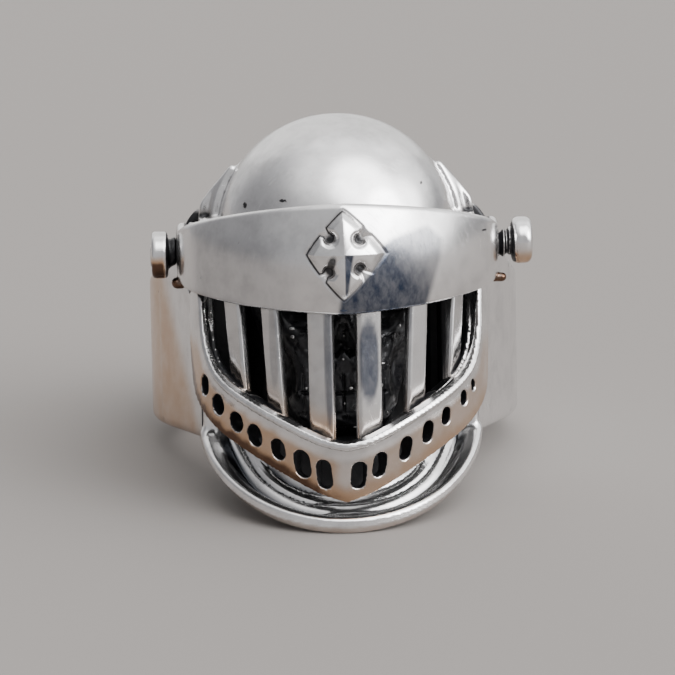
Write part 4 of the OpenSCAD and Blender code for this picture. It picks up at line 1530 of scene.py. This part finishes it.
def bars_group(material):
    """Bars on an arc: each point of the mesh is a bar, with its own side, turn, width, lean and length."""
    tree, given, made = geometry_group("Visor bars", [
        ("Arc radius", "Float", 0.0135), ("Arc across", "Float", 0.0), ("Arc forward", "Float", 0.0),
        ("Bar width", "Float", 0.0014), ("Bar thickness", "Float", 0.00065), ("Corner", "Float", 0.0002),
        ("Top", "Float", 0.0), ("Unevenness", "Float", 0.00006), ("Steps", "Int", 44),
        ("Material", "Material", material)])
    side, turn, lean = named(tree, "side"), named(tree, "turn"), named(tree, "lean")
    sin, cos = math_node(tree, "SINE", turn), math_node(tree, "COSINE", turn)
    across = math_node(tree, "MULTIPLY_ADD", sin, given["Arc radius"], given["Arc across"])
    forward = math_node(tree, "MULTIPLY_ADD", cos, given["Arc radius"], given["Arc forward"])
    place = node(tree, "ShaderNodeCombineXYZ", {
        0: math_node(tree, "MULTIPLY", side, across), 1: math_node(tree, "MULTIPLY", forward, -1.0),
        2: given["Top"]})
    points = node(tree, "GeometryNodeSetPosition", {
        "Geometry": given["Geometry"], "Position": place.outputs[0]})
    line = node(tree, "GeometryNodeCurvePrimitiveLine", {"Start": (0, 0, 0), "End": (0, 0, -MM)})
    path = node(tree, "GeometryNodeResampleCurve", {"Curve": line.outputs[0], "Count": 28})
    outline = node(tree, "GeometryNodeCurvePrimitiveQuadrilateral", {
        "Width": given["Bar width"], "Height": given["Bar thickness"]})
    soft = node(tree, "GeometryNodeFilletCurve", {
        "Curve": outline.outputs[0], "Radius": given["Corner"], "Count": 5}, mode="POLY")
    around = node(tree, "GeometryNodeResampleCurve", {"Curve": soft.outputs[0], "Count": given["Steps"]})
    bar = node(tree, "GeometryNodeCurveToMesh", {
        "Curve": path.outputs[0], "Profile Curve": around.outputs[0], "Fill Caps": True})
    turned = node(tree, "ShaderNodeCombineXYZ", {
        0: 0.0, 1: math_node(tree, "MULTIPLY", side, lean), 2: math_node(tree, "MULTIPLY", side, turn)})
    size = node(tree, "ShaderNodeCombineXYZ", {0: named(tree, "width"), 1: 1.0, 2: named(tree, "length")})
    cloud = node(tree, "GeometryNodeInstanceOnPoints", {
        "Points": points.outputs[0], "Instance": bar.outputs[0], "Rotation": turned.outputs[0],
        "Scale": size.outputs[0]})
    solid = node(tree, "GeometryNodeRealizeInstances", {"Geometry": cloud.outputs[0]})
    where = node(tree, "GeometryNodeInputPosition").outputs[0]
    noise = node(tree, "ShaderNodeTexNoise", {"Vector": where, "Scale": 420.0, "Detail": 2.0})
    centred = node(tree, "ShaderNodeVectorMath", {
        0: noise.outputs["Color"], 1: (0.5, 0.5, 0.5)}, operation="SUBTRACT")
    nudge = node(tree, "ShaderNodeVectorMath", {
        0: centred.outputs[0], "Scale": given["Unevenness"]}, operation="SCALE")
    cast = node(tree, "GeometryNodeSetPosition", {"Geometry": solid.outputs[0], "Offset": nudge.outputs[0]})
    return finish_geometry(tree, cast.outputs[0], given, made)


def crumbs_group(material):
    """Small lumps of metal left by the casting, scattered over a mesh."""
    tree, given, made = geometry_group("Casting crumbs", [
        ("Density", "Float", 1.0e6), ("Size", "Float", 0.00012), ("Seed", "Int", 4),
        ("Material", "Material", material)])
    chosen = math_node(tree, "GREATER_THAN", named(tree, "scatter"), 0.5)
    cloud = node(tree, "GeometryNodeDistributePointsOnFaces", {
        "Mesh": given["Geometry"], "Selection": chosen, "Density": given["Density"], "Seed": given["Seed"]})
    lump = node(tree, "GeometryNodeMeshIcoSphere", {"Radius": given["Size"], "Subdivisions": 2})
    scale = node(tree, "FunctionNodeRandomValue", {
        "Seed": 11, 0: (0.4, 0.4, 0.3), 1: (1.5, 1.2, 0.9)}, data_type="FLOAT_VECTOR")
    placed = node(tree, "GeometryNodeInstanceOnPoints", {
        "Points": cloud.outputs[0], "Instance": lump.outputs[0], "Rotation": cloud.outputs["Rotation"],
        "Scale": scale.outputs[0]})
    solid = node(tree, "GeometryNodeRealizeInstances", {"Geometry": placed.outputs[0]})
    return finish_geometry(tree, solid.outputs[0], given, made)


def keep_evaluated(piece):
    """Makes the evaluated mesh the piece's own, and drops its modifiers."""
    bpy.context.view_layer.update()
    evaluated = piece.evaluated_get(bpy.context.evaluated_depsgraph_get())
    made = bpy.data.meshes.new_from_object(evaluated)
    piece.modifiers.clear()
    old = piece.data
    piece.data = made
    bpy.data.meshes.remove(old)
    made.name = piece.name


def run_nodes(piece, tree, values):
    """Runs a geometry node group on a piece with the given input values, and keeps the result as its mesh."""
    modifier = piece.modifiers.new(tree.name, "NODES")
    modifier.node_group = tree
    for item in tree.interface.items_tree:
        if item.in_out == "INPUT" and item.name in values:
            modifier[item.identifier] = values[item.name]
    keep_evaluated(piece)


# Turns places across, back and up into places across, forward and up, or the other way round
TO_FORWARD = np.array([1, -1, 1])


def read_points(mesh):
    """The places and normals of a mesh's points."""
    found = []
    for name in ("co", "normal"):
        flat = np.zeros(len(mesh.vertices) * 3)
        mesh.vertices.foreach_get(name, flat)
        found.append(flat.reshape(-1, 3))
    return found


def place_local(piece):
    """Moves a mesh made across, back and up from the rivets' axis into the frame."""
    places = Places()
    verts = read_points(piece.data)[0]
    moved = places.pivot + (verts * TO_FORWARD) @ places.axes
    piece.data.vertices.foreach_set("co", moved.ravel())
    piece.data.update()


def bar_painted_reflections(points):
    """The painted dark reflections on the middle bars: ovals, of which the tall ones are strips."""
    dark = np.zeros(len(points))
    for x, z, half_width, half_height, strength in BAR_PAINTED_REFLECTIONS:
        away = ((points[:, 0] - x) / half_width) ** 2 + (np.abs(points[:, 2] - z) / half_height) ** 3
        dark = np.maximum(dark, strength * ramp(1.25, 0.65, away))
    return dark


class HELMET_OT_bars(bpy.types.Operator):
    """Builds the bars of the visor with geometry nodes"""

    bl_idname = "helmet.bars"
    bl_label = "Bars"

    def execute(self, context):
        kit = Kit.get()
        s = kit.s
        # The rim's crest that the bars stand on, from the middle outwards
        rows = [kit.visor.row(i / 4) for i in range(16, 37)][::-1]
        crest_x, crest_z = [row[0] for row in rows], [row[2] for row in rows]
        lean_height = 8.5
        columns = {"side": [], "turn": [], "width": [], "lean": [], "length": []}
        for side, turn, width, lean in BARS:
            t, tip = math.radians(turn), math.radians(lean)
            foot_x = s.arc_x + s.bar_arc_r * math.sin(t) - lean_height * math.tan(tip)
            foot = float(np.interp(foot_x, crest_x, crest_z)) - BAR_SINK
            values = (side, t, width / BAR_WIDTH, tip, (BAR_TOP - foot) / math.cos(tip))
            for column, value in zip(columns.values(), values):
                column.append(value)
        mesh = bpy.data.meshes.new("visor_bars")
        mesh.from_pydata([(0, 0, 0)] * len(BARS), [], [])
        for name, values in columns.items():
            mesh.attributes.new(name, "FLOAT", "POINT").data.foreach_set("value", values)
        piece = add_object("visor_bars", mesh)
        # The bars' silver is toned down to 0.74: painted shade that makes them darker than the rest of the
        # silver
        material = silver_material("Bar silver", 0.20, 0.12, 0.45, 0.16, 0.35, 0.74, painted_reflections=True)
        run_nodes(piece, bars_group(material), {
            "Arc radius": s.bar_arc_r * MM, "Arc across": s.arc_x * MM, "Arc forward": s.arc_f * MM,
            "Bar width": BAR_WIDTH * MM, "Bar thickness": s.bar_t * MM, "Corner": 0.2 * MM,
            "Top": BAR_TOP * MM, "Unevenness": 0.07 * MM, "Steps": 44, "Material": material})
        self.add_masks(kit, piece, crest_x, crest_z)
        place_local(piece)
        weighted = piece.modifiers.new("Weighted", "WEIGHTED_NORMAL")
        weighted.keep_sharp = False
        keep_evaluated(piece)
        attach(piece, "grille")
        return {"FINISHED"}

    def add_masks(self, kit, piece, crest_x, crest_z):
        """Black on the bars' backs and in their joints, warm feet, and the painted dark reflections."""
        points, normals = read_points(piece.data)
        points = points / MM * TO_FORWARD
        normals = normals * TO_FORWARD
        x, _, z = points.T
        over_crest = z - np.interp(np.abs(x), crest_x, crest_z)
        deep = ramp(0.35, 0.7, cavity(kit.union, points + normals * 0.12, normals)) * 0.8
        back = ramp(0.3, -0.3, normals[:, 1])
        joint = ramp(0.15, -0.25, over_crest)
        foot = ramp(2.6, 0.4, over_crest)
        set_masks(piece.data, {
            "oxide": np.maximum.reduce([deep, back, joint]),
            "tan": foot * (0.46 - 0.2 * (x > 0) + 0.16 * (np.abs(x + 1.3) < 1.0)),
            "painted_reflection": bar_painted_reflections(points)})


class HELMET_OT_crumbs(bpy.types.Operator):
    """Scatters casting crumbs over the skull with geometry nodes"""

    bl_idname = "helmet.crumbs"
    bl_label = "Casting crumbs"

    def execute(self, context):
        piece = add_object("skull_crumbs", bpy.data.objects["skull_face"].data.copy())
        points, normals = read_points(piece.data)
        places = Places()
        local = (points - places.pivot) @ places.axes.T / MM
        facing = normals @ places.axes.T
        # Only the face below the brow gets crumbs
        scatter = (local[:, 1] > 5) & (facing[:, 1] > 0.3) & (local[:, 2] < -2)
        chosen = piece.data.attributes.new("scatter", "FLOAT", "POINT")
        chosen.data.foreach_set("value", scatter.astype(np.float32))
        material = silver_material("Crumb silver", 0.3, 0.1, 0.3, 0.0, 0.0, 0.7)
        # The number in the panel is for a square centimetre
        per_square_metre = Kit.get().s.crumbs / 100 / MM**2
        run_nodes(piece, crumbs_group(material), {
            "Density": per_square_metre, "Size": 0.13 * MM, "Seed": 4, "Material": material})
        count = len(piece.data.vertices)
        set_masks(piece.data, {"oxide": np.full(count, 0.25), "tan": np.zeros(count)})
        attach(piece, "root")
        return {"FINISHED"}


# Stage


def soft_box_group():
    """A soft-edged patch of light or dark in one direction of the room."""
    tree, given, made = new_group(
        "Soft box",
        "ShaderNodeTree",
        [
            ("Way", "Vector", None),
            ("Towards", "Vector", (0, 0, 1)),
            ("Inner", "Float", 0.9),
            ("Outer", "Float", 0.6),
        ],
        [("Mask", "Float")],
    )
    dot = node(tree, "ShaderNodeVectorMath", {0: given["Way"], 1: given["Towards"]}, operation="DOT_PRODUCT")
    tree.links.new(step_between(tree, dot.outputs["Value"], given["Outer"], given["Inner"]), made["Mask"])
    return tree


# Even light of the room, and the patches over it that are brighter or darker.
# Columns: towards x, y, z; cosines of the inner and outer edges; light
ROOM_GREY = (0.58, 0.58, 0.60, 1)
ROOM = [
    ((0.0, -1.0, 0.05), 0.98, 0.10, (0.56, 0.55, 0.555)),
    ((-0.60, -0.65, 0.45), 0.95, 0.40, (0.54, 0.54, 0.55)),
    ((-1.0, 0.1, 0.10), 0.97, 0.70, (0.30, 0.30, 0.31)),
    ((1.0, 0.1, 0.10), 0.97, 0.70, (0.30, 0.30, 0.31)),
    ((0.0, 0.85, 0.50), 0.98, 0.55, (0.95, 0.94, 0.92)),
    ((0.08, -0.20, 1.0), 0.99, 0.60, (1.7, 1.7, 1.7)),
    ((0.76, 0.18, 0.62), 0.97, 0.80, (2.0, 2.0, 2.0)),
    ((0.62, -0.49, 0.62), 0.985, 0.84, (4.6, 4.6, 4.6)),
    ((0.36, -0.44, 0.82), 0.985, 0.82, (6.0, 6.0, 6.0)),
    ((0.88, -0.24, 0.40), 0.985, 0.87, (5.0, 5.0, 5.0)),
    ((0.71, -0.53, 0.46), 0.98, 0.93, (12.0, 12.0, 12.0)),
]


class HELMET_OT_stage(bpy.types.Operator):
    """Sets the pale floor, the soft light and the camera"""

    bl_idname = "helmet.stage"
    bl_label = "Stage"

    def execute(self, context):
        self.lay_floor()
        self.light_room(context)
        self.add_light("Back", (0.0, 0.60, 0.55), 1.30, 1.6)
        self.add_camera(context)
        return {"FINISHED"}

    def lay_floor(self):
        half = 3.0
        mesh = bpy.data.meshes.new("floor")
        corners = [(-half, -half, 0), (half, -half, 0), (half, half, 0), (-half, half, 0)]
        mesh.from_pydata(corners, [], [(0, 1, 2, 3)])
        material = bpy.data.materials.new("Pale floor")
        material.use_nodes = True
        shader = material.node_tree.nodes["Principled BSDF"]
        shader.inputs["Base Color"].default_value = colour("floor")
        shader.inputs["Roughness"].default_value = 0.75
        shader.inputs["Specular IOR Level"].default_value = 0.2
        mesh.materials.append(material)
        add_object("floor", mesh)

    def light_room(self, context):
        """Lays the room's patches of light over an even grey, one after another."""
        world = context.scene.world or bpy.data.worlds.new("Room")
        context.scene.world = world
        world.use_nodes = True
        tree = world.node_tree
        tree.nodes.clear()
        way = node(tree, "ShaderNodeTexCoord").outputs["Generated"]
        group = soft_box_group()
        light = ROOM_GREY
        for towards, inner, outer, shade in ROOM:
            patch = node(tree, "ShaderNodeGroup", {
                "Way": way, "Towards": tuple(Vector(towards).normalized()), "Inner": inner, "Outer": outer},
                node_tree=group)
            light = mix_colour(tree, patch.outputs[0], light, (*shade, 1))
        back = node(tree, "ShaderNodeBackground", {"Color": light, "Strength": 1.0})
        tree.links.new(back.outputs[0], node(tree, "ShaderNodeOutputWorld").inputs["Surface"])

    def add_light(self, name, place, size, power):
        """A round lamp aimed at the ring."""
        data = bpy.data.lights.new(name, "AREA")
        data.shape = "DISK"
        data.size = size
        data.energy = power
        lamp = add_object(name, data)
        lamp.location = place
        ring_middle = Vector((0, -0.005, 0.012))
        way = ring_middle - Vector(place)
        lamp.rotation_euler = way.to_track_quat("-Z", "Y").to_euler()

    def add_camera(self, context):
        """A camera far off in front: turn, rise and roll are in degrees from the helmet's own front."""
        turn, rise, roll = (math.radians(v) for v in (-1.8, 7.1, -1.1))
        looked_at, distance = np.array([-0.1, 0, -5.82]), 239.8
        focal_pixels, picture_pixels, sensor = 3735, 675, 36
        back = np.array([math.sin(turn) * math.cos(rise), math.cos(turn) * math.cos(rise), math.sin(rise)])
        right = np.array([math.cos(turn), -math.sin(turn), 0.0])
        up = np.array([0, 0, 1.0]) - back * back[2]
        up /= np.linalg.norm(up)
        tilted_right = math.cos(roll) * right + math.sin(roll) * up
        tilted_up = -math.sin(roll) * right + math.cos(roll) * up
        places = Places()
        data = bpy.data.cameras.new("Camera")
        data.sensor_width = sensor
        data.lens = focal_pixels / picture_pixels * sensor
        data.clip_start = 0.01
        data.clip_end = 20
        camera = add_object("Camera", data)
        matrix = np.eye(4)
        for i, axis in enumerate((tilted_right, tilted_up, back)):
            matrix[:3, i] = places.way(axis)
        matrix[:3, 3] = places.point(looked_at + back * distance)
        camera.matrix_world = matrix.T.tolist()
        context.scene.camera = camera


class HELMET_PT_panel(bpy.types.Panel):
    """Sizes, colours and steps of the helmet ring"""

    bl_idname = "HELMET_PT_panel"
    bl_label = "Helmet ring"
    bl_space_type = "VIEW_3D"
    bl_region_type = "UI"
    bl_category = "Helmet ring"

    def draw(self, context):
        for group in (context.scene.helmet_sizes, context.scene.helmet_colours):
            column = self.layout.column()
            for name in type(group).__annotations__:
                column.prop(group, name)
        for step in STEPS:
            self.layout.operator(step.bl_idname)


STEPS = (HELMET_OT_ring_body, HELMET_OT_skull, HELMET_OT_crumbs, HELMET_OT_grille, HELMET_OT_bars,
         HELMET_OT_brow, HELMET_OT_rivets, HELMET_OT_stage)
CLASSES = (HelmetSizes, HelmetColours, *STEPS, HELMET_PT_panel)


def register():
    for item in CLASSES:
        bpy.utils.register_class(item)
    bpy.types.Scene.helmet_sizes = PointerProperty(type=HelmetSizes)
    bpy.types.Scene.helmet_colours = PointerProperty(type=HelmetColours)


def unregister():
    del bpy.types.Scene.helmet_colours
    del bpy.types.Scene.helmet_sizes
    for item in reversed(CLASSES):
        bpy.utils.unregister_class(item)


def main():
    register()
    for step in (bpy.ops.helmet.ring_body, bpy.ops.helmet.skull, bpy.ops.helmet.crumbs, bpy.ops.helmet.grille,
                 bpy.ops.helmet.bars, bpy.ops.helmet.brow, bpy.ops.helmet.rivets, bpy.ops.helmet.stage):
        step()


if __name__ == "__main__":
    main()
